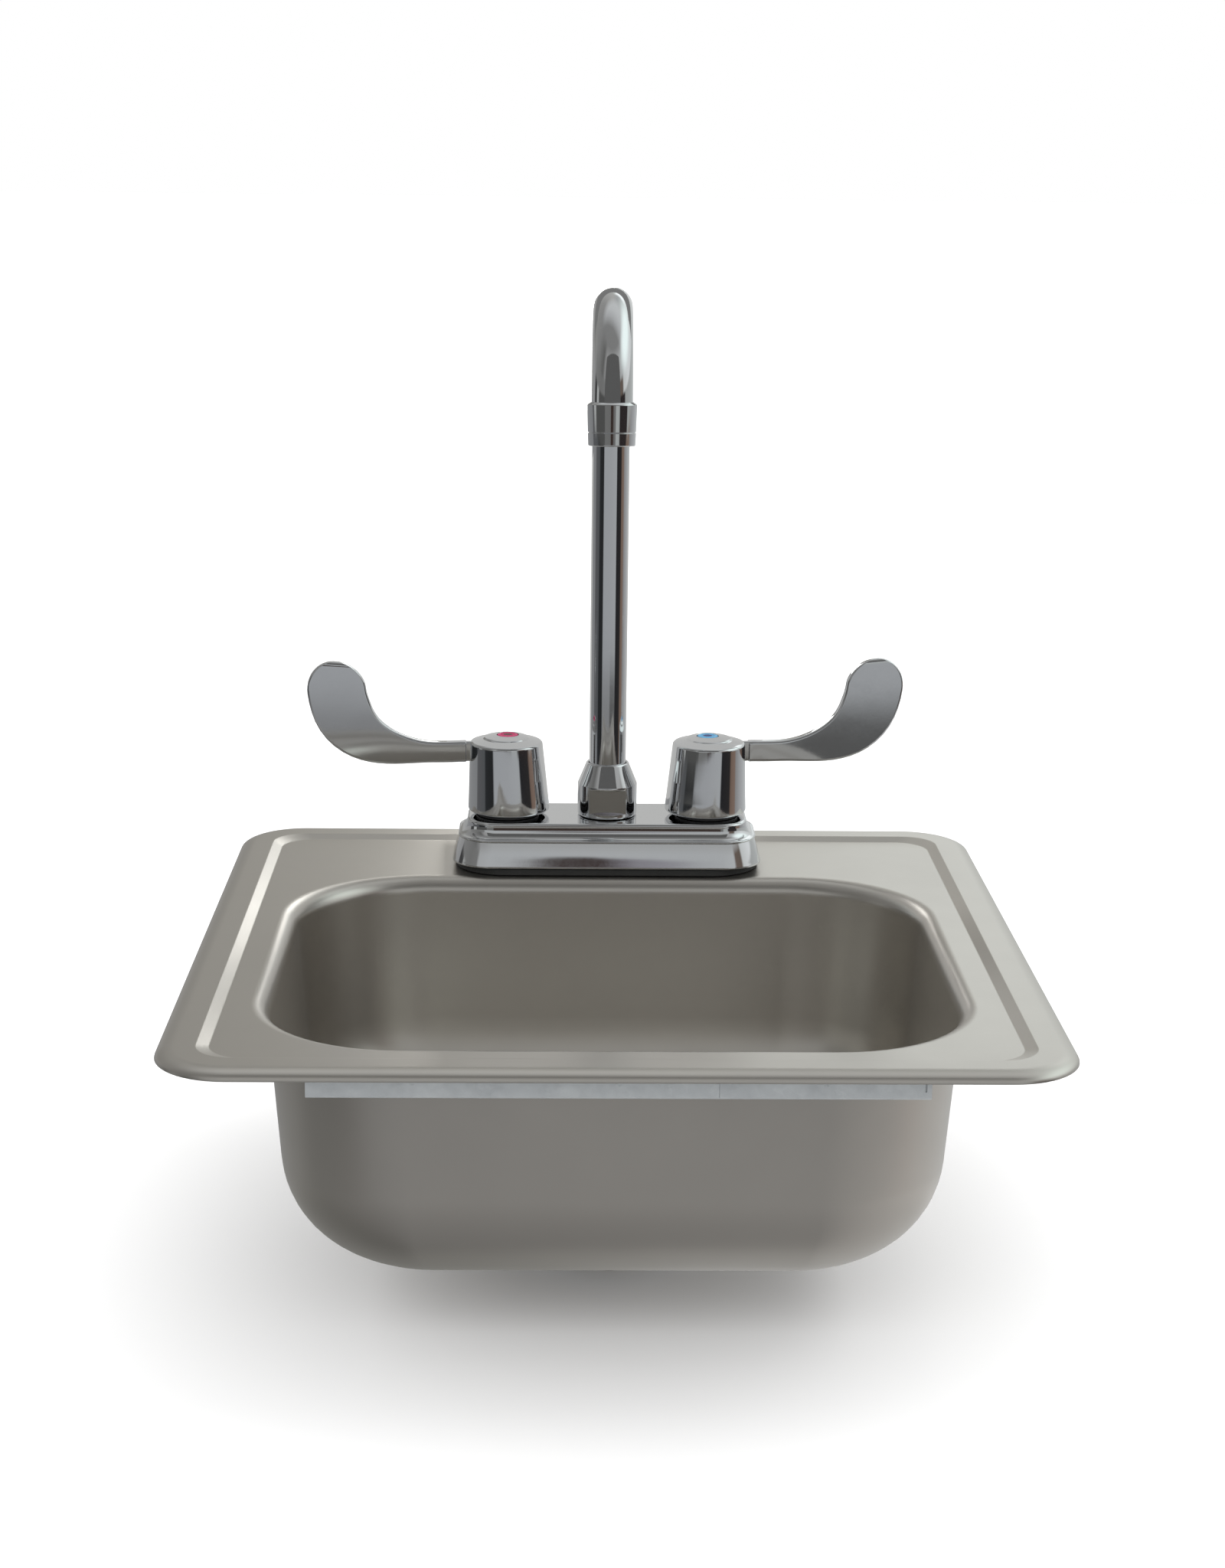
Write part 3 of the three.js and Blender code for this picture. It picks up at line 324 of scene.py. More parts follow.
    def hole_rings(self, rings: Sequence[tuple[float, int]], radius: float, low: float,
                   rise: float, centre: Vector, sides: int) -> None:
        """Adds small drills in rings.

        Args:
            rings: Radius of each ring and number of drills in it.
            radius: Radius of a drill.
            low: Height of its foot.
            rise: Length of it.
            centre: Point that the axis of the rings passes through.
            sides: Number of its sides.
        """
        for reach, count in rings:
            for angle in round_angles(count):
                spot = (centre.x + reach * math.cos(angle), centre.y + reach * math.sin(angle))
                self.prism(self.circle(radius, low, spot, sides), rise)

    def block(self, size: Sequence[float], centre: Sequence[float], edge: float = 0.0,
              place: Matrix | None = None) -> None:
        """Box with softened edges.

        Args:
            size: Length of each side.
            centre: Place of its middle.
            edge: Radius of its edges.
            place: Matrix that is applied last.
        """
        matrix = Matrix.Translation(centre) @ Matrix.Diagonal((*size, 1))
        known, before = set(self.bm.verts), set(self.bm.edges)
        bmesh.ops.create_cube(self.bm, size=1, matrix=matrix)
        if edge:
            made = [item for item in self.bm.edges if item not in before]
            bmesh.ops.bevel(self.bm, geom=made, offset=edge, offset_type="OFFSET", segments=2,
                            profile=ROUND_PROFILE, affect="EDGES", clamp_overlap=True,
                            material=-1)
        if place is not None:
            fresh = [vertex for vertex in self.bm.verts if vertex not in known]
            bmesh.ops.transform(self.bm, matrix=place, verts=fresh)

    def move(self, matrix: Matrix) -> None:
        """Applies a matrix to all that has been made so far."""
        bmesh.ops.transform(self.bm, matrix=matrix, verts=self.bm.verts)

    def as_object(self) -> Object:
        """Mesh object in millimetres, with doubles merged and its normals pointing out.

        Returns:
            The object.
        """
        merge_doubles(self.bm)
        bmesh.ops.recalc_face_normals(self.bm, faces=self.bm.faces)
        mesh = bpy.data.meshes.new(self.name)
        self.bm.to_mesh(mesh)
        self.bm.free()
        return new_object(self.name, mesh)


def spindle(name: str, profile: Profile, centre: Vector, sides: int) -> Object:
    """Solid turned from a profile that starts and ends on an upright axis through a centre.

    Args:
        name: Name of the object.
        profile: Pairs of radius and height.
        centre: A point on the axis.
        sides: Number of steps in the turn.

    Returns:
        The object.
    """
    blank = Blank(name)
    blank.turn(profile, sides, centre.xy)
    return blank.as_object()


def plug(name: str, radius: float, low: float, high: float, centre: Vector,
         sides: int = 64) -> Object:
    """Upright cylinder, as a drill or as a boss.

    Args:
        name: Name of the cylinder.
        radius: Its radius.
        low: Height of its foot.
        high: Height of its top.
        centre: Point that its axis passes through.
        sides: Steps of the turn.

    Returns:
        The cylinder.
    """
    return spindle(name, [(0, low), (radius, low), (radius, high), (0, high)], centre, sides)


def bake(piece: Object) -> None:
    """Turns a piece's modifiers into plain mesh.

    Args:
        piece: The piece.
    """
    bpy.context.view_layer.update()
    graph = bpy.context.evaluated_depsgraph_get()
    shaped = bpy.data.meshes.new_from_object(piece.evaluated_get(graph))
    piece.modifiers.clear()
    plain, piece.data = piece.data, shaped
    bpy.data.meshes.remove(plain)
    shaped.name = piece.name


def combine(piece: Object, tools: Sequence[Object],
            cut: Cut = Cut.AWAY) -> Object:
    """Cuts tools out of a piece, or joins them to it.

    Args:
        piece: The mesh that is kept.
        tools: The meshes that shape it, which are used up.
        cut: What happens between them.

    Returns:
        The piece.
    """
    for tool in tools:
        step = piece.modifiers.new(cut.value.title(), "BOOLEAN")
        step.operation = cut.value
        step.solver = "EXACT"
        step.object = tool
        bake(piece)
        clean = bmesh.new()
        clean.from_mesh(piece.data)
        merge_doubles(clean)
        clean.to_mesh(piece.data)
        clean.free()
    for tool in tools:
        spent = tool.data
        bpy.data.objects.remove(tool)
        bpy.data.meshes.remove(spent)
    return piece


def thicken(piece: Object, wall: float) -> None:
    """Gives a sheet its wall on the back of its faces, after its largest level face looks up.

    Args:
        piece: The sheet.
        wall: Its thickness.
    """
    level = max(piece.data.polygons, key=lambda face: face.area * abs(face.normal.z))
    if level.normal.z < 0:
        piece.data.flip_normals()
    wall_step = piece.modifiers.new("Wall", "SOLIDIFY")
    wall_step.thickness = wall
    wall_step.offset = -1.0
    wall_step.use_even_offset = True
    wall_step.use_quality_normals = True
    bake(piece)


@dataclass(frozen=True)
class Finishing:
    """How a piece's edges are softened and shaded."""

    edge: float = 0.0
    edge_segments: int = 2
    edge_angle: float = 35.0
    crease: float = 32.0


def finish_piece(piece: Object, material: Material, body: Body,
                 replaces: str, finishing: Finishing = Finishing()) -> None:
    """Softens, shades, scales to metres and hands over a piece.

    Args:
        piece: Mesh object in millimetres.
        material: Its finish, which knows the record's slot for it.
        body: The body that it rides on.
        replaces: Frame node that it stands for.
        finishing: How its edges are treated.
    """
    if finishing.edge:
        soften = piece.modifiers.new("Soften", "BEVEL")
        soften.width = finishing.edge
        soften.segments = finishing.edge_segments
        soften.limit_method = "ANGLE"
        soften.angle_limit = math.radians(finishing.edge_angle)
        soften.use_clamp_overlap = True
        soften.miter_outer = "MITER_ARC"
        bake(piece)
    piece.data.transform(Matrix.Scale(MM, 4))
    piece.data.shade_smooth()
    piece.data.set_sharp_from_angle(angle=math.radians(finishing.crease))
    even = piece.modifiers.new("Even", "WEIGHTED_NORMAL")
    even.keep_sharp = True
    bake(piece)
    coat(piece, material)
    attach(piece, body.value)
    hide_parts(replaces)
    LOG.info("%s rides on %s with %d faces", piece.name, body.value, len(piece.data.polygons))


def coat(piece: Object, material: Material) -> None:
    """Gives a piece one material."""
    piece.data.materials.clear()
    piece.data.materials.append(material)


class Graph:
    """Short hand for building a node tree."""

    def __init__(self, tree: NodeTree) -> None:
        """Works in the given tree."""
        self.tree = tree

    def node(self, kind: str, inputs: dict | None = None, **settings) -> Node:
        """Adds a shader node.

        Args:
            kind: Type of the node, without the words that all of them start with.
            inputs: Values or sockets by input name or index.
            settings: Properties of the node.

        Returns:
            The node.
        """
        made = self.tree.nodes.new("ShaderNode" + kind)
        for name, value in settings.items():
            setattr(made, name, value)
        for key, value in (inputs or {}).items():
            self.feed(made.inputs[key], value)
        return made

    def feed(self, socket: NodeSocket, value: object) -> None:
        """Links a socket to an input, or sets the input's value.

        Args:
            socket: The input.
            value: Its value, or the socket that feeds it.
        """
        if isinstance(value, NodeSocket):
            self.tree.links.new(value, socket)
        else:
            socket.default_value = value

    def math(self, operation: str, a: object, b: object = 0.0,
             c: object = 0.0) -> NodeSocket:
        """Result of a Math node."""
        return self.node("Math", {0: a, 1: b, 2: c}, operation=operation).outputs[0]

    def blend(self, share: object, a: object, b: object) -> NodeSocket:
        """Colour a share of the way from a to b."""
        made = self.node("Mix", {0: share, 6: a, 7: b}, data_type="RGBA")
        return made.outputs[2]

    def span(self, value: object, low: float, high: float, at_low: float = 0.0,
             at_high: float = 1.0, **settings) -> NodeSocket:
        """Result of a Map Range node.

        Args:
            value: The value.
            low: Where its range starts.
            high: Where its range ends.
            at_low: Result at the start.
            at_high: Result at the end.
            settings: Properties of the node.

        Returns:
            The result.
        """
        ends = {0: value, 1: low, 2: high, 3: at_low, 4: at_high}
        return self.node("MapRange", ends, **settings).outputs[0]

    def noise(self, place: object, scale: object, detail: float,
              roughness: float = 0.5) -> NodeSocket:
        """Result of a Noise Texture node."""
        return self.node("TexNoise", {"Vector": place, "Scale": scale, "Detail": detail,
                                      "Roughness": roughness}).outputs[0]

    def ramp(self, value: object,
             stops: Sequence[tuple[float, Sequence[float]]]) -> NodeSocket:
        """Colour ramp over a value.

        Args:
            value: Where on the ramp to look.
            stops: Pairs of position and colour.

        Returns:
            The colour.
        """
        made = self.node("ValToRGB", {0: value})
        bar = made.color_ramp
        while len(bar.elements) > 1:
            bar.elements.remove(bar.elements[-1])
        bar.elements[0].position, bar.elements[0].color = stops[0][0], (*stops[0][1], 1)
        for position, colour in stops[1:]:
            bar.elements.new(position).color = (*colour, 1)
        return made.outputs[0]

    def group(self, tree: NodeTree, inputs: dict) -> NodeSocket:
        """First output of a node group."""
        return self.node("Group", inputs, node_tree=tree).outputs[0]


def empty_graph(owner: Material | World) -> Graph:
    """Graph of a material or a world, cleared of its first nodes.

    Args:
        owner: The material or the world.

    Returns:
        The graph.
    """
    owner.use_nodes = True
    owner.node_tree.nodes.clear()
    return Graph(owner.node_tree)


def new_group(name: str, **inputs: float) -> tuple[Graph, NodeInputs, NodeSocket]:
    """Starts a shader node group that puts out one mask over a vector.

    Args:
        name: Name of the group.
        inputs: Name and first value of each number that it takes.

    Returns:
        Its graph, the sockets of its inputs and the socket of its mask.
    """
    tree = bpy.data.node_groups.new(name, "ShaderNodeTree")
    tree.interface.new_socket(name="Vector", in_out="INPUT", socket_type="NodeSocketVector")
    for label, value in inputs.items():
        socket = tree.interface.new_socket(name=label, in_out="INPUT",
                                           socket_type="NodeSocketFloat")
        socket.default_value = value
    tree.interface.new_socket(name="Mask", in_out="OUTPUT", socket_type="NodeSocketFloat")
    entry, leave = (tree.nodes.new(kind) for kind in ("NodeGroupInput", "NodeGroupOutput"))
    return Graph(tree), entry.outputs, leave.inputs["Mask"]


class SurfaceEffects:
    """Effects that several finishes share, each a node group."""

    def __init__(self) -> None:
        """Builds every group once."""
        self.grain = self._grain()
        self.mottle = self._mottle()
        self.dust = self._dust()

    @staticmethod
    def _grain() -> NodeTree:
        """Fine grain that can be drawn out into brush lines along X.

        Returns:
            The group.
        """
        graph, entry, mask = new_group("Fine grain", Scale=900.0, Stretch=1.0)
        parts = graph.node("SeparateXYZ", {0: entry["Vector"]})
        drawn = graph.math("DIVIDE", parts.outputs[0], entry["Stretch"])
        place = graph.node("CombineXYZ",
                           {0: drawn, 1: parts.outputs[1], 2: parts.outputs[2]})
        graph.feed(mask, graph.noise(place.outputs[0], entry["Scale"], 3.0, 0.6))
        return graph.tree

    @staticmethod
    def _mottle() -> NodeTree:
        """Slow, cloudy change over a surface, from two sizes of noise.

        Returns:
            The group.
        """
        graph, entry, mask = new_group("Cloudy mottle", Scale=20.0, Contrast=1.0)
        wide = graph.noise(entry["Vector"], entry["Scale"], 2.0)
        finer = graph.noise(entry["Vector"], graph.math("MULTIPLY", entry["Scale"], 4.3), 4.0)
        both = graph.math("ADD", graph.math("MULTIPLY", wide, 0.65),
                          graph.math("MULTIPLY", finer, 0.35))
        off = graph.math("MULTIPLY", graph.math("SUBTRACT", both, HALF), entry["Contrast"])
        clear = graph.node("Clamp", {0: graph.math("ADD", off, HALF)})
        graph.feed(mask, clear.outputs[0])
        return graph.tree

    @staticmethod
    def _dust() -> NodeTree:
        """Specks and film that gather on faces that look up.

        Returns:
            The group.
        """
        graph, entry, mask = new_group("Dust on top", Scale=400.0)
        shape = graph.node("NewGeometry")
        up = graph.node("SeparateXYZ", {0: shape.outputs["Normal"]})
        lying = graph.span(up.outputs[2], 0.2, 1.0)
        few = graph.span(graph.noise(entry["Vector"], entry["Scale"], 2.0), 0.62, 0.78)
        graph.feed(mask, graph.math("MULTIPLY", lying, few))
        return graph.tree


@dataclass(frozen=True)
class Finish:
    """A surface finish, with the grain, mottle, wave and dust of the real one."""

    name: str
    slot: str
    colour: Colour
    tint: Colour
    metallic: float
    roughness: float
    rough_spread: float = 0.05
    mottle_scale: float = 20.0
    mottle_contrast: float = 1.5
    grain_scale: float = 900.0
    grain_stretch: float = 1.0
    grain_depth: float = 0.00001
    wave_scale: float = 12.0
    wave_depth: float = 0.0
    dust: float = 0.0
    dust_colour: Colour = (0.55, 0.54, 0.52)
    specular: float = 0.5

    def build(self, effects: SurfaceEffects) -> Material:
        """Builds the material from the shared effects.

        Args:
            effects: The shared node groups.

        Returns:
            The material.
        """
        material = bpy.data.materials.new(self.name)
        material["slot"] = self.slot
        graph = empty_graph(material)
        place = graph.node("TexCoord").outputs["Object"]
        mottle = graph.group(effects.mottle, {"Vector": place, "Scale": self.mottle_scale,
                                              "Contrast": self.mottle_contrast})
        grain = graph.group(effects.grain, {"Vector": place, "Scale": self.grain_scale,
                                            "Stretch": self.grain_stretch})
        plain = graph.blend(mottle, (*self.colour, 1), (*self.tint, 1))
        colour = self.base_colour(graph, place, plain)
        spread = graph.math("ADD", graph.math("MULTIPLY", mottle, 0.6),
                            graph.math("MULTIPLY", grain, 0.4))
        rough = graph.span(spread, 0.25, 0.75, self.roughness - self.rough_spread,
                           self.roughness + self.rough_spread)
        metal: object = self.metallic
        if self.dust:
            film = graph.group(effects.dust, {"Vector": place})
            share = graph.math("MULTIPLY", film, self.dust)
            colour = graph.blend(share, colour, (*self.dust_colour, 1))
            rough = graph.math("ADD", rough, graph.math("MULTIPLY", share, 0.4))
            metal = graph.math("MULTIPLY", graph.math("SUBTRACT", 1.0, share), self.metallic)
        height = graph.math("MULTIPLY", grain, self.grain_depth)
        if self.wave_depth:
            wave = graph.noise(place, self.wave_scale, 1.5)
            height = graph.math("ADD", height, graph.math("MULTIPLY", wave, self.wave_depth))
        height = self.relief(graph, place, height)
        bump = graph.node("Bump", {"Strength": 1.0, "Distance": 1.0, "Height": height})
        shader = graph.node("BsdfPrincipled",
                            {"Base Color": colour, "Roughness": rough, "Metallic": metal,
                             "Normal": bump.outputs[0]})
        shader.inputs["Specular IOR Level"].default_value = self.specular
        graph.node("OutputMaterial", {0: shader.outputs[0]})
        return material

    def base_colour(self, graph: Graph, place: NodeSocket, colour: NodeSocket) -> NodeSocket:
        """Colour of the finish; plain mottle unless a finish adds to it."""
        return colour

    def relief(self, graph: Graph, place: NodeSocket, height: NodeSocket) -> NodeSocket:
        """Height of the finish; plain grain and wave unless a finish adds to it."""
        return height


@dataclass(frozen=True)
class Galvanised(Finish):
    """Hot-dipped zinc with faint spangle and scattered pits."""

    spangle_scale: float = 210.0
    spangle_share: float = 0.3
    pit_scale: float = 95.0
    pit_depth: float = 0.0002

    def base_colour(self, graph: Graph, place: NodeSocket, colour: NodeSocket) -> NodeSocket:
        """Adds the crystals of the zinc.

        Args:
            graph: Graph of the material.
            place: Object coordinates.
            colour: Colour so far.

        Returns:
            The new colour.
        """
        cells = graph.node("TexVoronoi", {"Vector": place, "Scale": self.spangle_scale})
        tone = graph.node("SeparateColor", {0: cells.outputs["Color"]}).outputs[0]
        share = graph.math("MULTIPLY", tone, self.spangle_share)
        return graph.blend(share, colour, (*self.tint, 1))

    def relief(self, graph: Graph, place: NodeSocket, height: NodeSocket) -> NodeSocket:
        """Adds shallow pits."""
        deep = graph.span(graph.noise(place, self.pit_scale, 3.0), 0.6, 0.72)
        return graph.math("SUBTRACT", height, graph.math("MULTIPLY", deep, self.pit_depth))


@dataclass(frozen=True)
class IndexPlastic(Finish):
    """Gloss plastic of an index button, darker inside its ring."""

    centre: tuple[float, float, float] = (0.0, 0.0, 0.0)
    dot_colour: Colour = (0.1, 0.1, 0.1)
    dot_radius: float = 0.0024

    def base_colour(self, graph: Graph, place: NodeSocket, colour: NodeSocket) -> NodeSocket:
        """Adds the darker dot about the middle of the button.

        Args:
            graph: Graph of the material.
            place: Object coordinates.
            colour: Colour so far.

        Returns:
            The new colour.
        """
        off = graph.node("VectorMath", {0: place, 1: self.centre}, operation="SUBTRACT")
        flat = graph.node("VectorMath", {0: off.outputs[0], 1: (1.0, 1.0, 0.0)},
                          operation="MULTIPLY")
        reach = graph.node("VectorMath", {0: flat.outputs[0]}, operation="LENGTH")
        inside = graph.span(reach.outputs["Value"], self.dot_radius * 0.8,
                            self.dot_radius * 1.15, 1.0, 0.0)
        return graph.blend(inside, colour, (*self.dot_colour, 1))


class Finishes:
    """Every finish of the product, built once."""

    def __init__(self) -> None:
        """Builds the shared effects and the materials."""
        self.effects = SurfaceEffects()
        self.steel = Finish(
            "satin_sheet_steel", "satin_steel", (0.61, 0.585, 0.545), (0.575, 0.55, 0.515), 1.0,
            0.32, rough_spread=0.02, mottle_scale=14.0, grain_scale=1500.0, grain_stretch=5.0,
            grain_depth=0.000004, wave_scale=9.0, wave_depth=0.0002, dust=0.03).build(self.effects)
        self.zinc_coat = Galvanised(
            "galvanised_rail", "galvanised", (0.74, 0.775, 0.79), (0.56, 0.59, 0.61), 0.75, 0.46,
            rough_spread=0.1, mottle_scale=55.0, mottle_contrast=2.4, grain_scale=1300.0,
            grain_depth=0.00003).build(self.effects)
        self.chrome = Finish(
            "polished_chrome", "chrome", (0.72, 0.725, 0.735), (0.69, 0.70, 0.715), 1.0, 0.055,
            rough_spread=0.02, mottle_scale=35.0, grain_scale=700.0, grain_depth=0.0000008,
            wave_scale=55.0, wave_depth=0.000008, dust=0.05).build(self.effects)
        self.brass = Finish(
            "machined_brass", "brass", (0.62, 0.46, 0.20), (0.45, 0.31, 0.12), 1.0, 0.32,
            rough_spread=0.1, mottle_scale=60.0, mottle_contrast=2.0,
            grain_scale=1600.0).build(self.effects)
        self.zinc = Finish(
            "zinc_plated_steel", "zinc_steel", (0.60, 0.615, 0.62), (0.47, 0.48, 0.50), 1.0, 0.36,
            rough_spread=0.09, mottle_scale=45.0, mottle_contrast=2.0,
            grain_scale=1200.0).build(self.effects)
        # Zinc painted near-black as painted shade: the bonnet rings sit in the shaded gap under
        # each handle hub, and this dark colour stands in for that shade.
        self.gap_shade_zinc = Finish(
            "zinc_with_painted_gap_shade", "zinc_steel", (0.035, 0.035, 0.037), (0.05, 0.05, 0.052), 0.4, 0.5,
            rough_spread=0.08, mottle_scale=60.0, mottle_contrast=2.0, grain_scale=1300.0,
            specular=0.2).build(self.effects)
        self.rubber = Finish(
            "moulded_rubber", "black_rubber", (0.018, 0.019, 0.018), (0.03, 0.031, 0.03), 0.0, 0.62,
            rough_spread=0.1, mottle_scale=70.0, grain_scale=1400.0, grain_depth=0.00004,
            dust=0.2, dust_colour=(0.16, 0.155, 0.15), specular=0.35).build(self.effects)
        self.fibre = Finish(
            "pressed_fibre", "fibre", (0.30, 0.23, 0.16), (0.20, 0.15, 0.10), 0.0, 0.88,
            mottle_scale=160.0, mottle_contrast=3.0, grain_scale=2200.0, grain_depth=0.00007,
            specular=0.2).build(self.effects)
        self.nylon = Finish(
            "natural_nylon", "nylon", (0.78, 0.76, 0.70), (0.70, 0.68, 0.62), 0.0, 0.5,
            mottle_scale=60.0, grain_scale=1200.0).build(self.effects)
        self.grey = Finish(
            "grey_moulding", "grey_plastic", (0.26, 0.28, 0.29), (0.21, 0.225, 0.235), 0.0, 0.45,
            mottle_scale=60.0, grain_scale=1500.0, grain_depth=0.00002).build(self.effects)

    def button(self, side: str, colour: Colour, tint: Colour, dot: Colour,
               centre: Vector) -> Material:
        """Finish of an index button, with its dot about a centre given in metres.

        Args:
            side: Hot or cold.
            colour: Colour of the plastic.
            tint: Its second tone.
            dot: Colour of the dot.
            centre: Middle of the button.

        Returns:
            The material.
        """
        return IndexPlastic(
            f"{side}_index_plastic", f"{side}_button", colour, tint, 0.0, 0.28, rough_spread=0.06,
            mottle_scale=180.0, grain_scale=1400.0, grain_depth=0.000006, centre=tuple(centre),
            dot_colour=dot, specular=0.12).build(self.effects)


def valve_centres() -> list[Vector]:
    """Points on the axes of the hot valve and the cold one."""
    return [Extent.of(f"{side}_shank_washer").centre for side in ("hot", "cold")]


@dataclass
class SinkShell:
    """The drawn sheet: rim, step, deck, bowl and drain seat."""

    finishes: Finishes
    sheet: float = 1.0
    rim_corner: float = 32.0
    rim_high: float = 4.3
    roll_run: float = 8.0
    band: float = 16.5
    step_run: float = 5.5
    step_drop: float = 2.0
    step_softness: float = 0.12
    bowl_wide: float = 300.0
    bowl_across: float = 247.5
    bowl_corner: float = 61.0
    bowl_deep: float = 118.0
    corner_tightening: float = 0.7
    mouth_radius: float = 8.0
    draft: float = 4.3
    floor_radius: float = 53.5
    floor_fall: float = 1.5
    seat_radius: float = 37.0
    seat_slope: float = 3.5
    seat_drop: float = 2.0
    drain_hole: float = 25.8
    tap_hole: float = 15.9
    corner_steps: int = 14
    roll_steps: int = 8
    mouth_steps: int = 10
    wall_steps: int = 5
    floor_steps: int = 16
    fall_steps: int = 3
    seat_softness: float = 0.25
    seat_edge: float = 1.2
    fall_start: float = 1.4
    first_roundness: float = 0.98

    def build(self) -> None:
        """Models the sheet's upper face, gives it its thickness and drills it."""
        box = Extent.of("sink_bowl")
        self.half_x, self.half_y = box.size.x * HALF, box.size.y * HALF
        self.bowl_y = Extent.of("drain_body").centre.y
        self.deck = self.rim_high - self.step_drop
        blank = Blank("sink_shell")
        blank.skin(self._floor_loops(blank) + self._wall_loops(blank) + self._rim_loops(blank))
        shell = blank.as_object()
        thicken(shell, self.sheet)
        combine(shell, [plug("tap_drill", self.tap_hole, -self.rim_high, self.rim_high, valve)
                        for valve in valve_centres()])
        finish_piece(shell, self.finishes.steel, Body.SINK, "sink_bowl", Finishing(crease=50.0))

    def _rim_loop(self, blank: Blank, inset: float, z: float) -> Loop:
        """Loop a given distance in from the rim's outer edge.

        Args:
            blank: The mesh.
            inset: The distance.
            z: Height of the loop.

        Returns:
            Edges of the loop.
        """
        corner = max(self.rim_corner - inset, self.rim_corner * HALF)
        return blank.rounded(self.half_x - inset, self.half_y - inset, corner, z,
                             steps=self.corner_steps)

    def _bowl_loop(self, blank: Blank, inset: float, z: float) -> Loop:
        """Loop a given distance in from the mouth of the bowl's upright wall.

        Args:
            blank: The mesh.
            inset: The distance.
            z: Height of the loop.

        Returns:
            Edges of the loop.
        """
        corner = self.bowl_corner - inset * self.corner_tightening
        return blank.rounded(self.bowl_wide * HALF - inset, self.bowl_across * HALF - inset, corner,
                             z, (0, self.bowl_y), self.corner_steps)

    def _floor_loops(self, blank: Blank) -> list[Loop]:
        """Drain seat and the floor that falls to it.

        Args:
            blank: The mesh.

        Returns:
            The loops, outward from the drain.
        """
        sides = 4 * (self.corner_steps + 1)
        fall_z = -self.bowl_deep - self.floor_fall
        seat_z = fall_z - self.seat_drop
        outer, soft = self.seat_radius + self.seat_slope, self.seat_softness
        reach = outer + self.fall_start
        seat = [(self.drain_hole, seat_z), (self.seat_radius - self.seat_edge, seat_z),
                (self.seat_radius, seat_z + soft),
                (self.seat_radius + self.seat_slope * HALF, seat_z + self.seat_drop * HALF),
                (outer, fall_z - soft), (reach, fall_z)]
        loops = [blank.circle(radius, z, (0, self.bowl_y), sides) for radius, z in seat]
        inset = self._wall_inset() + self.floor_radius * math.cos(math.radians(self.draft))
        for share in shares(self.fall_steps, 1)[:-1]:
            half_x = lerp(reach, self.bowl_wide * HALF - inset, share)
            half_y = lerp(reach, self.bowl_across * HALF - inset, share)
            corner = lerp(reach * self.first_roundness,
                          self.bowl_corner - inset * self.corner_tightening, share)
            z = fall_z + self.floor_fall * share * share
            loops.append(blank.rounded(half_x, half_y, corner, z, (0, self.bowl_y),
                                       self.corner_steps))
        return loops

    def _wall_inset(self) -> float:
        """How far the foot of the straight wall stands in from its mouth.

        Returns:
            The distance.
        """
        draft = math.radians(self.draft)
        self.turn_z = self.floor_radius - self.bowl_deep
        self.wall_low = self.turn_z - self.floor_radius * math.sin(draft)
        self.wall_high = self.deck - self.mouth_radius
        return (self.wall_high - self.wall_low) * math.tan(draft)

    def _wall_loops(self, blank: Blank) -> list[Loop]:
        """Turn from the floor to the wall, the wall, and the mouth's rounded edge.

        Args:
            blank: The mesh.

        Returns:
            The loops, from the floor up.
        """
        draft = math.radians(self.draft)
        foot = self._wall_inset()
        loops = []
        for share in shares(self.floor_steps):
            angle = lerp(QUARTER_TURN, draft, share)
            inset = foot + self.floor_radius * (math.cos(draft) - math.cos(angle))
            loops.append(self._bowl_loop(blank, inset,
                                         self.turn_z - self.floor_radius * math.sin(angle)))
        for share in shares(self.wall_steps, 1)[:-1]:
            loops.append(self._bowl_loop(blank, foot * (1 - share),
                                         lerp(self.wall_low, self.wall_high, share)))
        for share in shares(self.mouth_steps):
            angle = share * QUARTER_TURN
            loops.append(self._bowl_loop(
                blank, self.mouth_radius * (math.cos(angle) - 1),
                self.wall_high + self.mouth_radius * math.sin(angle)))
        return loops

    def _rim_loops(self, blank: Blank) -> list[Loop]:
        """Step from the deck up to the outer band, and the rim rolled down to the counter.

        Args:
            blank: The mesh.

        Returns:
            The loops, outward from the deck.
        """
        soft = self.step_softness
        loops = []
        for share in (0.0, soft * HALF, soft, HALF, 1 - soft, 1 - soft * HALF, 1.0):
            loops.append(self._rim_loop(blank, self.band + self.step_run * (1 - share),
                                        self.deck + self.step_drop * self._ramp(share)))
        for share in shares(self.roll_steps):
            angle = QUARTER_TURN * (1 - share)
            loops.append(self._rim_loop(blank, self.roll_run * (1 - math.cos(angle)),
                                        self.rim_high * math.sin(angle)))
        return loops

    def _ramp(self, share: float) -> float:
        """Rise of the step: a straight slope with a short curve at each end.

        Args:
            share: Share of the step's run.

        Returns:
            Share of its rise.
        """
        soft = self.step_softness
        slope = 1 / (1 - soft)
        if share < soft:
            return slope * share * share / (2 * soft)
        if share > 1 - soft:
            return 1 - slope * (1 - share) ** 2 / (2 * soft)
        return slope * (share - soft * HALF)


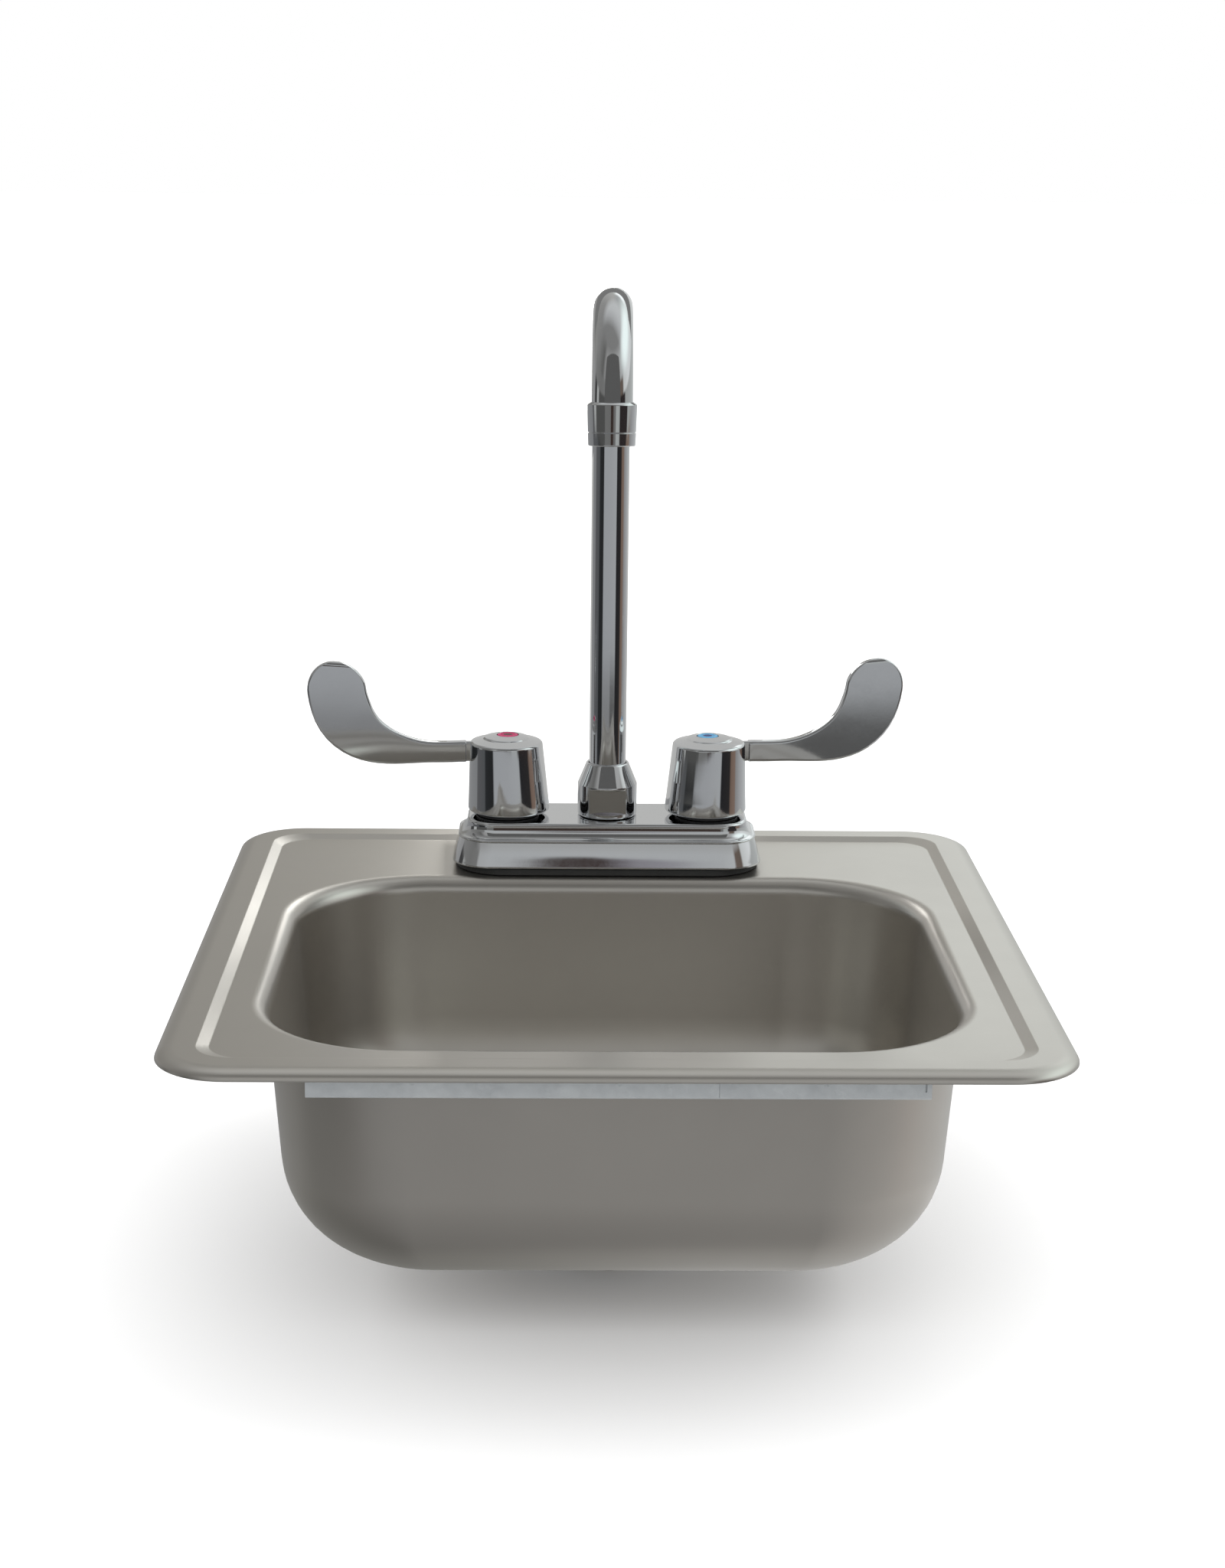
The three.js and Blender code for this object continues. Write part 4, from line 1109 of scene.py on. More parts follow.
@dataclass
class ClipRails:
    """Four folded channels welded under the rim for the mounting clips."""

    finishes: Finishes
    wall: float = 0.9
    lip: float = 1.8
    fold: float = 1.1
    weld_pitch: float = 84.0
    weld_radius: float = 2.6
    weld_deep: float = 0.35
    slit_wide: float = 0.8
    slit_high: float = 5.0
    slit_inset: float = 2.4
    slit_rise_share: float = 0.45
    joint_share: float = 0.66
    joint_wide: float = 0.25
    joint_deep_share: float = 0.2

    def build(self) -> None:
        """Models each rail where its node lies."""
        for turn, side in enumerate(("front", "right", "back", "left")):
            self._rail(side, turn)

    def _rail(self, side: str, turn: int) -> None:
        """One rail, folded along X and then turned to its side of the rim.

        Args:
            side: Side of the rim.
            turn: Quarter turns from the front.
        """
        box = Extent.of(f"rail_{side}")
        long, wide = max(box.size.x, box.size.y), min(box.size.x, box.size.y)
        out, high = wide * HALF, box.size.z
        blank = Blank(f"clip_rail_{side}")
        chain = [(-out + self.lip, 0.0), (-out, 0.0), (-out, high), (out, high), (out, 0.0),
                 (out - self.lip, 0.0)]
        verts = [blank.bm.verts.new((-long * HALF, y, z)) for y, z in chain]
        edges = [blank.bm.edges.new(pair) for pair in zip(verts, verts[1:])]
        grown = bmesh.ops.extrude_edge_only(blank.bm, edges=edges)
        moved = [item for item in grown["geom"] if isinstance(item, bmesh.types.BMVert)]
        bmesh.ops.translate(blank.bm, vec=(long, 0, 0), verts=moved)
        folds = [edge for edge in blank.bm.edges if len(edge.link_faces) == 2]
        bmesh.ops.bevel(blank.bm, geom=folds, offset=self.fold, offset_type="OFFSET", segments=4,
                        profile=ROUND_PROFILE, affect="EDGES", clamp_overlap=True, material=-1)
        rail = blank.as_object()
        thicken(rail, self.wall)
        combine(rail, self._cutters(long, out, high))
        place = Matrix.Translation((*box.centre.xy, box.low.z))
        rail.data.transform(place @ Matrix.Rotation(turn * QUARTER_TURN, 4, "Z"))
        finish_piece(rail, self.finishes.zinc_coat, Body.SINK, f"rail_{side}",
                     Finishing(edge=0.12, edge_segments=1, crease=40.0))

    def _cutters(self, long: float, out: float, high: float) -> list[Object]:
        """Tools for the weld dents, the slit by the end and the joint in the outer wall.

        Args:
            long: Length of the rail.
            out: Half of its width.
            high: Its height.

        Returns:
            The tools.
        """
        weld = Blank("weld_dents")
        count = int(long // self.weld_pitch)
        for index in range(count):
            x = (index - (count - 1) * HALF) * self.weld_pitch
            made = bmesh.ops.create_uvsphere(weld.bm, u_segments=20, v_segments=12,
                                             radius=self.weld_radius)
            lift = Matrix.Translation((x, -out - self.weld_radius + self.weld_deep, high * HALF))
            bmesh.ops.transform(weld.bm, matrix=lift, verts=made["verts"])
        slit = Blank("slit")
        slit.block((self.slit_wide, self.wall * 3, self.slit_high),
                   (long * HALF - self.slit_inset, -out, high * self.slit_rise_share))
        slit.block((self.joint_wide, self.wall, high * 2),
                   (long * (self.joint_share - HALF), -out - self.wall * self.joint_deep_share,
                    high * HALF))
        return [weld.as_object(), slit.as_object()]


def turned_piece(name: str, profile: Profile, centre: Vector, material: Material,
                 body: Body, replaces: str, sides: int = 64, cuts: Sequence[Object] = (),
                 place: Matrix | None = None, finishing: Finishing = Finishing(edge=0.12)) -> None:
    """Turned piece about an upright axis through a centre.

    Args:
        name: Name of the piece.
        profile: Pairs of radius and height.
        centre: Point that the axis passes through.
        material: Its finish.
        body: The body that it rides on.
        replaces: Frame node that it stands for.
        sides: Steps of the turn.
        cuts: Tools that are cut away, which are used up.
        place: Matrix that is applied after the cuts.
        finishing: How its edges are treated.
    """
    blank = Blank(name)
    blank.turn(profile, sides, centre.xy)
    piece = combine(blank.as_object(), cuts)
    if place is not None:
        piece.data.transform(place)
    finish_piece(piece, material, body, replaces, finishing)


def washer(name: str, node: str, bore: float, centre: Vector, material: Material,
           finishing: Finishing) -> None:
    """Flat ring on the sink in place of a node.

    Args:
        name: Name of the piece.
        node: Frame node that it stands for.
        bore: Radius of its hole.
        centre: A point on its axis.
        material: Its finish.
        finishing: How its edges are treated.
    """
    box = Extent.of(node)
    outer, low, high = box.size.x * HALF, box.low.z, box.high.z
    turned_piece(name, [(bore, low), (outer, low), (outer, high), (bore, high)], centre, material,
                 Body.SINK, node, finishing=finishing)


@dataclass
class DrainSet:
    """Strainer body clamped through the bowl, and the basket that lifts out of it."""

    finishes: Finishes
    wall: float = 1.1
    cup_radius: float = 24.9
    flange_radius: float = 33.5
    tail_radius: float = 19.0
    cup_deep: float = 12.6
    lip_radius: float = 0.7
    lug_count: int = 8
    lug_deep: float = 3.2
    lug_wide: float = 9.0
    locknut_bore: float = 25.2
    basket_rim: float = 2.2
    basket_wall: float = 0.9
    hole_radius: float = 1.7
    floor_rings: tuple[tuple[float, int], ...] = ((7.6, 6), (12.4, 12), (17.0, 18))
    floor_hole_share: float = 0.72
    slot_count: int = 18
    slot_wide: float = 1.6
    slot_high_share: float = 0.42
    cup_turn: float = 2.0
    thread_turns: int = 6
    thread_pitch: float = 1.6
    thread_deep: float = 0.35
    thread_rise: float = 0.4
    play: float = 0.3
    post_radius: float = 2.3
    knob_radius: float = 6.2
    knob_high: float = 3.4

    def build(self) -> None:
        """Models the clamped pieces and then the basket."""
        self.axis = Extent.of("drain_body").centre
        self._body()
        self._clamp_stack()
        self._cup()
        self._stopper_and_knob()

    def _body(self) -> None:
        """Flanged cup with a rolled lip and a threaded tail."""
        box = Extent.of("drain_body")
        top, low = box.high.z, box.low.z
        under = top - self.wall
        cup_low = under - self.cup_deep
        inner, tail = self.cup_radius - self.wall, self.tail_radius - self.wall
        lip = self.lip_radius
        profile = [(inner, cup_low + self.wall), (tail + 0.6, cup_low + self.wall),
                   (tail, cup_low + self.wall - 0.6), (tail, low), (self.tail_radius, low)]
        root, pitch = self.tail_radius - self.thread_deep, self.thread_pitch
        start = low + self.thread_rise
        for turn in range(self.thread_turns):
            foot = start + turn * pitch
            profile += [(root, foot), (self.tail_radius, foot + pitch * HALF)]
        profile += [(root, start + self.thread_turns * pitch),
                    (self.tail_radius, cup_low), (self.cup_radius, cup_low),
                    (self.cup_radius, under), (self.flange_radius - 0.2, under)]
        profile += arc((self.flange_radius - 0.35, under + 0.35), 0.35, -60, 60, 3)
        profile += [(self.flange_radius - 2.4, top - 0.12), (self.flange_radius - 4.0, top)]
        profile += arc((inner + lip, top - lip), lip, 90, 180, 5)
        turned_piece("strainer_body", profile, self.axis, self.finishes.steel, Body.SINK,
                     "drain_body", finishing=Finishing(crease=45.0))

    def _clamp_stack(self) -> None:
        """Rubber gasket, fibre washer and the lugged locknut below the bowl."""
        for name, node, material, edge in [
                ("strainer_gasket", "drain_gasket", self.finishes.rubber, 0.5),
                ("friction_washer", "drain_fibre_washer", self.finishes.fibre, 0.15)]:
            washer(name, node, self.locknut_bore, self.axis, material,
                   Finishing(edge=edge, edge_segments=3))
        box = Extent.of("drain_locknut")
        outer = box.size.x * HALF
        low, high = box.low.z, box.high.z
        notches = Blank("lug_notches")
        for angle in round_angles(self.lug_count):
            notches.block((self.lug_deep * 2, self.lug_wide, high - low), (outer, 0, low), 0.8,
                          about(self.axis, angle))
        turned_piece("strainer_locknut", [
            (self.locknut_bore, low), (outer - 5.4, low), (outer - 5.0, low + 0.5),
            (outer - 0.4, low + 0.5), (outer, low + 0.9), (outer, high), (self.locknut_bore, high)],
            self.axis, self.finishes.zinc, Body.SINK, "drain_locknut",
            cuts=[notches.as_object()], finishing=Finishing(edge=0.25))

    def _cup(self) -> None:
        """Perforated basket cup with a rolled rim, holes in its floor and slots in its side."""
        box = Extent.of("basket_cup")
        outer = box.size.x * HALF
        low, top, wall = box.low.z, box.high.z, self.basket_wall
        body = outer - self.basket_rim
        inner, turn, hole = body - wall, self.cup_turn, self.post_radius + self.play
        profile = [(hole, low)]
        profile += arc((body - turn, low + turn), turn, -90, 0, 5)
        profile += [(body, top - wall - 0.4), (body + 0.4, top - wall)]
        profile += arc((outer - wall * HALF, top - wall * HALF), wall * HALF, -90, 90, 6)
        profile += arc((inner + 0.8, top - 0.8), 0.8, 90, 180, 4)
        profile += arc((inner - turn + wall, low + turn), turn - wall, 0, -90, 4)
        profile += [(hole, low + wall)]
        drills = Blank("basket_drills")
        drills.hole_rings(self.floor_rings, self.hole_radius * self.floor_hole_share, low - 1,
                          wall + 2, self.axis, 14)
        for angle in round_angles(self.slot_count):
            drills.block((wall * 4, self.slot_wide, (top - low) * self.slot_high_share),
                         (body, 0, (low + top) * HALF), 0.7, about(self.axis, angle))
        turned_piece("strainer_basket", profile, self.axis, self.finishes.steel, Body.BASKET,
                     "basket_cup", sides=72, cuts=[drills.as_object()],
                     finishing=Finishing(crease=40.0))

    def _stopper_and_knob(self) -> None:
        """Rubber stopper below the basket, and the post and knob that lift both."""
        box = Extent.of("basket_stopper")
        wide, low, top = box.size.x * HALF, box.low.z, box.high.z
        socket, floor = self.post_radius + self.play, (low + top) * HALF - self.play
        profile = [(0, low), (wide * 0.8, low), (wide - 1.1, low + 0.15), (wide, low + 1.2),
                   (wide, top - 0.5), (wide - 0.5, top), (socket + 3, top),
                   (socket + 2.6, top - 0.3), (socket, top - 0.3), (socket, floor), (0, floor)]
        turned_piece("basket_seal", profile, self.axis, self.finishes.rubber, Body.BASKET,
                     "basket_stopper", finishing=Finishing(crease=35.0))
        box = Extent.of("basket_knob")
        low, top = box.low.z, box.high.z
        seat = Extent.of("basket_cup").low.z + self.basket_wall + self.play
        post, knob = self.post_radius, self.knob_radius
        foot, neck = post * 2, top - self.knob_high
        profile = [(0, low), (post - 0.3, low), (post, low + 0.3), (post, seat), (foot, seat),
                   (foot, seat + 0.5), (foot - 0.4, seat + self.basket_wall),
                   (post + 0.5, seat + 1.4), (post, seat + 2.2), (post, neck - 0.4),
                   (post + 0.5, neck)]
        profile += arc((knob - 1.2, neck + 1.3), 1.2, -80, 60, 8)
        profile += [(knob * 0.66, top - 0.12), (knob * 0.4, top), (knob * 0.33, top - 0.2),
                    (0, top - 0.3)]
        turned_piece("basket_lift_knob", profile, self.axis, self.finishes.steel, Body.BASKET,
                     "basket_knob", finishing=Finishing(crease=45.0))


@dataclass
class FaucetBase:
    """Chromed cover plate with a flared skirt, a bead and a cove, on its black pad."""

    finishes: Finishes
    corner: float = 19.5
    tightening: float = 0.7
    foot_high: float = 1.2
    skirt_high: float = 12.4
    flare: float = 3.7
    skirt_start: float = 0.82
    bead: float = 0.8
    cove_run: float = 3.7
    edge_radius: float = 1.5
    wall: float = 2.5
    valve_hole: float = 13.0
    spout_hole: float = 11.25
    pad_corner: float = 26.0
    pad_edge: float = 0.5
    foot_nick: float = 0.12
    corner_steps: int = 14
    skirt_steps: int = 8
    cove_steps: int = 9
    edge_steps: int = 6

    def build(self) -> None:
        """Models the plate and its pad."""
        self.box = Extent.of("base_plate")
        self.top_inset = self.flare + self.cove_run + self.edge_radius
        self._plate()
        self._pad()

    def _loop(self, blank: Blank, inset: float, z: float, foot_corner: float | None = None) -> Loop:
        """Loop a given distance in from the plate's foot.

        Args:
            blank: The mesh.
            inset: The distance.
            z: Height of the loop.
            foot_corner: Corner at the foot, if not the plate's own.

        Returns:
            Edges of the loop.
        """
        corner = (foot_corner or self.corner) - inset * self.tightening
        return blank.rounded(self.box.size.x * HALF - inset, self.box.size.y * HALF - inset, corner,
                             z, self.box.centre.xy, self.corner_steps)

    def _outline(self) -> list[Pair]:
        """Outside of the plate as pairs of inset and height, from the foot up.

        Returns:
            The pairs.
        """
        low, top = self.box.low.z, self.box.high.z
        skirt_low, skirt_top = low + self.foot_high, low + self.skirt_high
        nick = self.foot_nick
        points = [(0.3, low), (0.0, low + 0.3), (0.0, skirt_low - 0.3), (nick, skirt_low)]
        for share in shares(self.skirt_steps, 1):
            points.append((lerp(nick, self.flare, share * lerp(self.skirt_start, 1.0, share)),
                           lerp(skirt_low, skirt_top, share)))
        for angle in (-60, -30, 0, 30, 60):
            turn = math.radians(angle)
            points.append((self.flare + self.bead * 0.2 - self.bead * math.cos(turn) * 1.2,
                           skirt_top + self.bead + self.bead * math.sin(turn)))
        cove_low = skirt_top + 2 * self.bead
        cove_top = top - self.edge_radius
        for share in shares(self.cove_steps):
            angle = share * QUARTER_TURN
            points.append((self.flare + self.cove_run * math.sin(angle),
                           lerp(cove_low, cove_top, 1 - math.cos(angle))))
        for share in shares(self.edge_steps, 1):
            angle = share * QUARTER_TURN
            points.append((self.top_inset - self.edge_radius * math.cos(angle),
                           cove_top + self.edge_radius * math.sin(angle)))
        return points

    def _plate(self) -> None:
        """Shell of the plate, hollow below, with holes for the valves and the spout."""
        blank = Blank("faucet_cover_plate")
        outside = [self._loop(blank, inset, z) for inset, z in self._outline()]
        low, top, wall = self.box.low.z, self.box.high.z, self.wall
        inner = self.top_inset + wall
        inside = [self._loop(blank, inset, z) for inset, z in [
            (wall, low), (wall, low + self.foot_high), (self.flare + wall, low + self.skirt_high),
            (inner, top - wall - 1), (inner + 1, top - wall)]]
        inside.reverse()
        blank.skin(inside + outside)
        blank.cap(outside[-1], 0.6)
        blank.cap(inside[0])
        plate = blank.as_object()
        holes = [(valve, self.valve_hole) for valve in valve_centres()]
        holes.append((Extent.of("spout_nut").centre, self.spout_hole))
        combine(plate, [plug("plate_drill", radius, top - wall - 2, top + 1, centre)
                        for centre, radius in holes])
        finish_piece(plate, self.finishes.chrome, Body.SINK, "base_plate", Finishing(crease=45.0))

    def _pad(self) -> None:
        """Black pad between the plate and the deck, with a soft edge."""
        box = Extent.of("faucet_gasket")
        blank = Blank("faucet_pad")
        low, top, edge = box.low.z, box.high.z, self.pad_edge
        outline = [(edge, low), (0.15, low + 0.15), (0.0, low + edge),
                   (0.0, top - edge), (0.15, top - 0.15), (edge, top)]
        inset = (self.box.size.x - box.size.x) * HALF
        loops = [self._loop(blank, inset + off, z, self.pad_corner) for off, z in outline]
        blank.skin(loops)
        blank.cap(loops[0])
        blank.cap(loops[-1])
        pad = blank.as_object()
        combine(pad, [plug("pad_drill", self.valve_hole, low - 1, top + 1, valve, 48)
                      for valve in valve_centres()])
        finish_piece(pad, self.finishes.rubber, Body.SINK, "faucet_gasket", Finishing(crease=45.0))


@dataclass
class LeverHandle:
    """One valve handle: leaning hub, blade lever and index button."""

    finishes: Finishes
    side: str
    body: Body
    rest_turn: float
    button_colours: tuple[Colour, Colour, Colour]
    foot_radius: float = 20.75
    top_radius: float = 18.4
    high: float = 35.8
    foot_shift: float = 0.7
    lean: float = 1.5
    dome: float = 3.3
    edge: float = 1.6
    wall: float = 2.6
    cavity_high: float = 21.0
    broach_radius: float = 4.5
    broach_high: float = 8.0
    web: float = 3.6
    screw_hole: float = 2.0
    well_radius: float = 5.6
    ring_radius: float = 11.2
    ring_rise: float = 0.6
    reach: float = 98.8
    rise: float = 38.3
    arm_high: float = 10.8
    arm_thick: float = 5.6
    paddle_wide: float = 29.5
    paddle_thick: float = 4.2
    arm_below_rim: float = 4.4
    swell: Pair = (0.25, 0.78)
    pulls: Pair = (0.52, 0.92)
    sag: float = 0.267
    neck_long: float = 2.3
    neck_shrink: float = 0.3
    neck_thinning: float = 1.1
    neck_sunk: float = 2.0
    edge_share: float = 0.55
    foot_roll: float = 1.5
    button_play: float = 0.05
    body_steps: int = 26
    tip_steps: int = 14
    wall_steps: int = 5
    hub_sides: int = 80
    curve_steps: int = 400

    def build(self) -> None:
        """Models the hub, the lever and the button."""
        box = Extent.of(f"{self.side}_handle")
        self.base = box.low.z
        self.rim = self.base + self.high
        self.top = self.rim + self.dome
        self.centre = Extent.of(f"{self.side}_shank_washer").centre
        self.place = about(self.centre, math.radians(self.rest_turn))
        self._hub()
        self._lever()
        self._button()

    def _shift(self, z: float) -> float:
        """Where the leaning hub's centre is at a height."""
        return self.lean * min(max((z - self.base) / self.high, 0), 1) - self.foot_shift

    def _hub(self) -> None:
        """Leaning tapered thimble, with its dome, button well, broach and cavity."""
        blank = Blank(f"{self.side}_handle_hub")
        loops = []

        def ring(radius: float, z: float, centred: bool = False) -> None:
            """Adds a loop of the hub, about the valve's axis if centred."""
            shift = 0.0 if centred else self._shift(z)
            loops.append(blank.circle(radius, z, (shift, 0), self.hub_sides))

        taper = (self.top_radius - self.foot_radius) / self.high
        rim_foot = self.rim - self.edge
        dome_radius = self.top_radius - self.edge
        cavity_top = self.base + self.cavity_high
        web_top = cavity_top + self.broach_high + self.web
        ring(self.foot_radius - self.wall, self.base + 0.3)
        ring(self.foot_radius - self.wall + 0.3, self.base)
        roll = self.foot_roll
        for radius, z in arc((self.foot_radius - roll, self.base + roll), roll, -90, 0, 3):
            ring(radius, z)
        for share in shares(self.wall_steps, 1):
            z = lerp(self.base + roll, rim_foot, share)
            ring(self.foot_radius + taper * (z - self.base), z)
        edge_radius = self.foot_radius + taper * (rim_foot - self.base)
        for angle in (20, 40, 60, 78):
            turn = math.radians(angle)
            ring(edge_radius - self.edge * (1 - math.cos(turn)),
                 rim_foot + self.edge * math.sin(turn))
        for reach in (0.95, 0.88, 0.8, 0.74):
            ring(dome_radius * reach, self._dome_at(dome_radius * reach))
        for off, lift in ((0.7, 0.0), (0.35, 0.3), (0.0, 0.75), (-0.4, 1.0), (-1.4, 1.0)):
            radius = self.ring_radius + off
            ring(radius, self._dome_at(radius) + self.ring_rise * lift)
        for radius in (8.4, 7.0):
            ring(radius, self._dome_at(radius) + self.ring_rise)
        ring(self.well_radius + 0.25, self.top - 0.06, True)
        broach_top = cavity_top + self.broach_high
        for radius, z in [
                (self.well_radius, self.top - 0.3), (self.well_radius, web_top),
                (self.screw_hole, web_top), (self.screw_hole, broach_top),
                (self.broach_radius, broach_top), (self.broach_radius, cavity_top)]:
            ring(radius, z, True)
        wide = self.foot_radius + taper * self.cavity_high - self.wall
        ring(wide - 1, cavity_top)
        ring(wide, cavity_top - 1)
        blank.skin(loops, joined=True)
        blank.move(self.place)
        finish_piece(blank.as_object(), self.finishes.chrome, self.body, f"{self.side}_handle",
                     Finishing(crease=40.0))

    def _dome_at(self, radius: float) -> float:
        """Height of the domed top at a radius from its centre."""
        share = min(radius / (self.top_radius - self.edge), 1.0)
        return self.rim + (self.dome - self.ring_rise) * (1 - share * share)

    def _curve(self) -> tuple[list[tuple[Vector, Vector, float]], float]:
        """Centreline of the lever as points with direction and share, and its length.

        Returns:
            The stations from the hub to the tip, and the length.
        """
        arm_z = self.rim - self.arm_below_rim
        tip = Vector((self.reach - self.paddle_wide * HALF + self.paddle_thick * HALF, 0,
                      self.top + self.rise))
        low_z = arm_z - self.arm_high * self.sag
        knots = [Vector((self.top_radius * HALF, 0, arm_z)),
                 Vector((self.reach * self.pulls[0], 0, low_z)),
                 Vector((self.reach * self.pulls[1], 0, low_z)), tip]

        def at(t: float) -> Vector:
            """Point of the Bezier curve.

            Args:
                t: Share of the curve.

            Returns:
                The point.
            """
            u = 1 - t
            return (knots[0] * u ** 3 + knots[1] * (3 * u * u * t) + knots[2] * (3 * u * t * t)
                    + knots[3] * t ** 3)

        fine = self.curve_steps
        walk = [at(share) for share in shares(fine)]
        lengths = [0.0]
        for near, far in zip(walk, walk[1:]):
            lengths.append(lengths[-1] + (far - near).length)
        total = lengths[-1]

        def along(share: float) -> tuple[Vector, Vector]:
            """Point and direction at a share of the length.

            Args:
                share: The share.

            Returns:
                The point and the direction.
            """
            goal, index = share * total, 0
            while index < fine - 1 and lengths[index + 1] < goal:
                index += 1
            span = lengths[index + 1] - lengths[index]
            part = (goal - lengths[index]) / span
            near, far = walk[index], walk[index + 1]
            return near.lerp(far, part), (far - near).normalized()

        tip_start = 1 - self.paddle_wide * HALF / total
        spots = [share * tip_start for share in shares(self.body_steps)[:-1]]
        spots += [tip_start + (1 - tip_start) * math.sin(share * QUARTER_TURN)
                  for share in shares(self.tip_steps)[:-1]]
        return [(*along(spot), spot) for spot in spots], total

    def _lever(self) -> None:
        """Blade lofted along the lever's curve, on a narrower neck out of the hub."""
        blank = Blank(f"{self.side}_handle_lever")
        stations, total = self._curve()
        tip_start = 1 - self.paddle_wide * HALF / total
        neck_end = self.top_radius + self.lean - self.foot_shift + self.neck_long
        loops = []
        first = next(i for i, (point, _, _) in enumerate(stations) if point.x > neck_end)
        neck_z = stations[first][0].z
        neck_from = Vector((self.top_radius - self.neck_sunk, 0, neck_z))
        neck_to = Vector((neck_end, 0, neck_z))
        flat = Vector((1, 0, 0))
        for place, ahead, cut in ((neck_from, 0.0, 1.0), (neck_to, -0.4, 1.0),
                                  (neck_to, -0.3, 0.35), (neck_to, 0.0, 0.0)):
            loops.append(self._section(blank, place + flat * ahead, flat,
                                       self.arm_high * HALF - cut * self.neck_shrink,
                                       self.arm_thick * HALF - cut * self.neck_thinning))
        for point, direction, share in stations[first:]:
            grow = smooth_share(share, *self.swell)
            half_wide = lerp(self.arm_high, self.paddle_wide, grow) * HALF
            half_thick = lerp(self.arm_thick, self.paddle_thick, share) * HALF
            if share > tip_start:
                away = (share - tip_start) / (1 - tip_start)
                half_wide *= math.sqrt(max(1 - away * away, 0))
                left = (1 - share) * total
                if left < half_thick:
                    half_thick = math.sqrt(half_thick ** 2 - (half_thick - left) ** 2)
            loops.append(self._section(blank, point, direction, half_wide, half_thick))
        blank.skin(loops)
        blank.cap(loops[0])
        blank.cap(loops[-1])
        blank.move(self.place)
        finish_piece(blank.as_object(), self.finishes.chrome, self.body, f"{self.side}_handle",
                     Finishing(crease=50.0))

    def _section(self, blank: Blank, point: Vector, direction: Vector, half_wide: float,
                 half_thick: float) -> Loop:
        """Section of the blade: flat faces with rounded edges, square to its direction.

        Args:
            blank: The mesh.
            point: Middle of the section.
            direction: Direction of the blade.
            half_wide: Half of its width.
            half_thick: Half of its thickness.

        Returns:
            The edges of the loop.
        """
        across = Vector((-direction.z, 0, direction.x))
        matrix = Matrix.Translation(point) @ Matrix((
            (across.x, 0, direction.x, 0), (0, 1, 0, 0), (across.z, 0, direction.z, 0),
            (0, 0, 0, 1)))
        return blank.rounded(half_wide, half_thick, min(half_thick, half_wide) * self.edge_share,
                             steps=5, place=matrix)

    def _button(self) -> None:
        """Index button: a shallow cap with a ring round its dot."""
        box = Extent.of(f"{self.side}_index_button")
        radius, low, top = box.size.x * HALF - self.button_play, box.low.z, box.high.z
        material = self.finishes.button(self.side, *self.button_colours,
                                        Vector((*self.centre.xy, top)) * MM)
        profile = [(0, low), (radius, low), (radius, top - 0.45), (radius - 0.12, top - 0.15),
                   (radius - 0.4, top - 0.02), (radius - 0.9, top), (3.6, top), (3.45, top - 0.25),
                   (3.0, top - 0.25), (2.85, top - 0.05), (0, top - 0.02)]
        turned_piece(f"{self.side}_button", profile, self.centre, material, self.body,
                     f"{self.side}_index_button", 48, finishing=Finishing(crease=40.0))


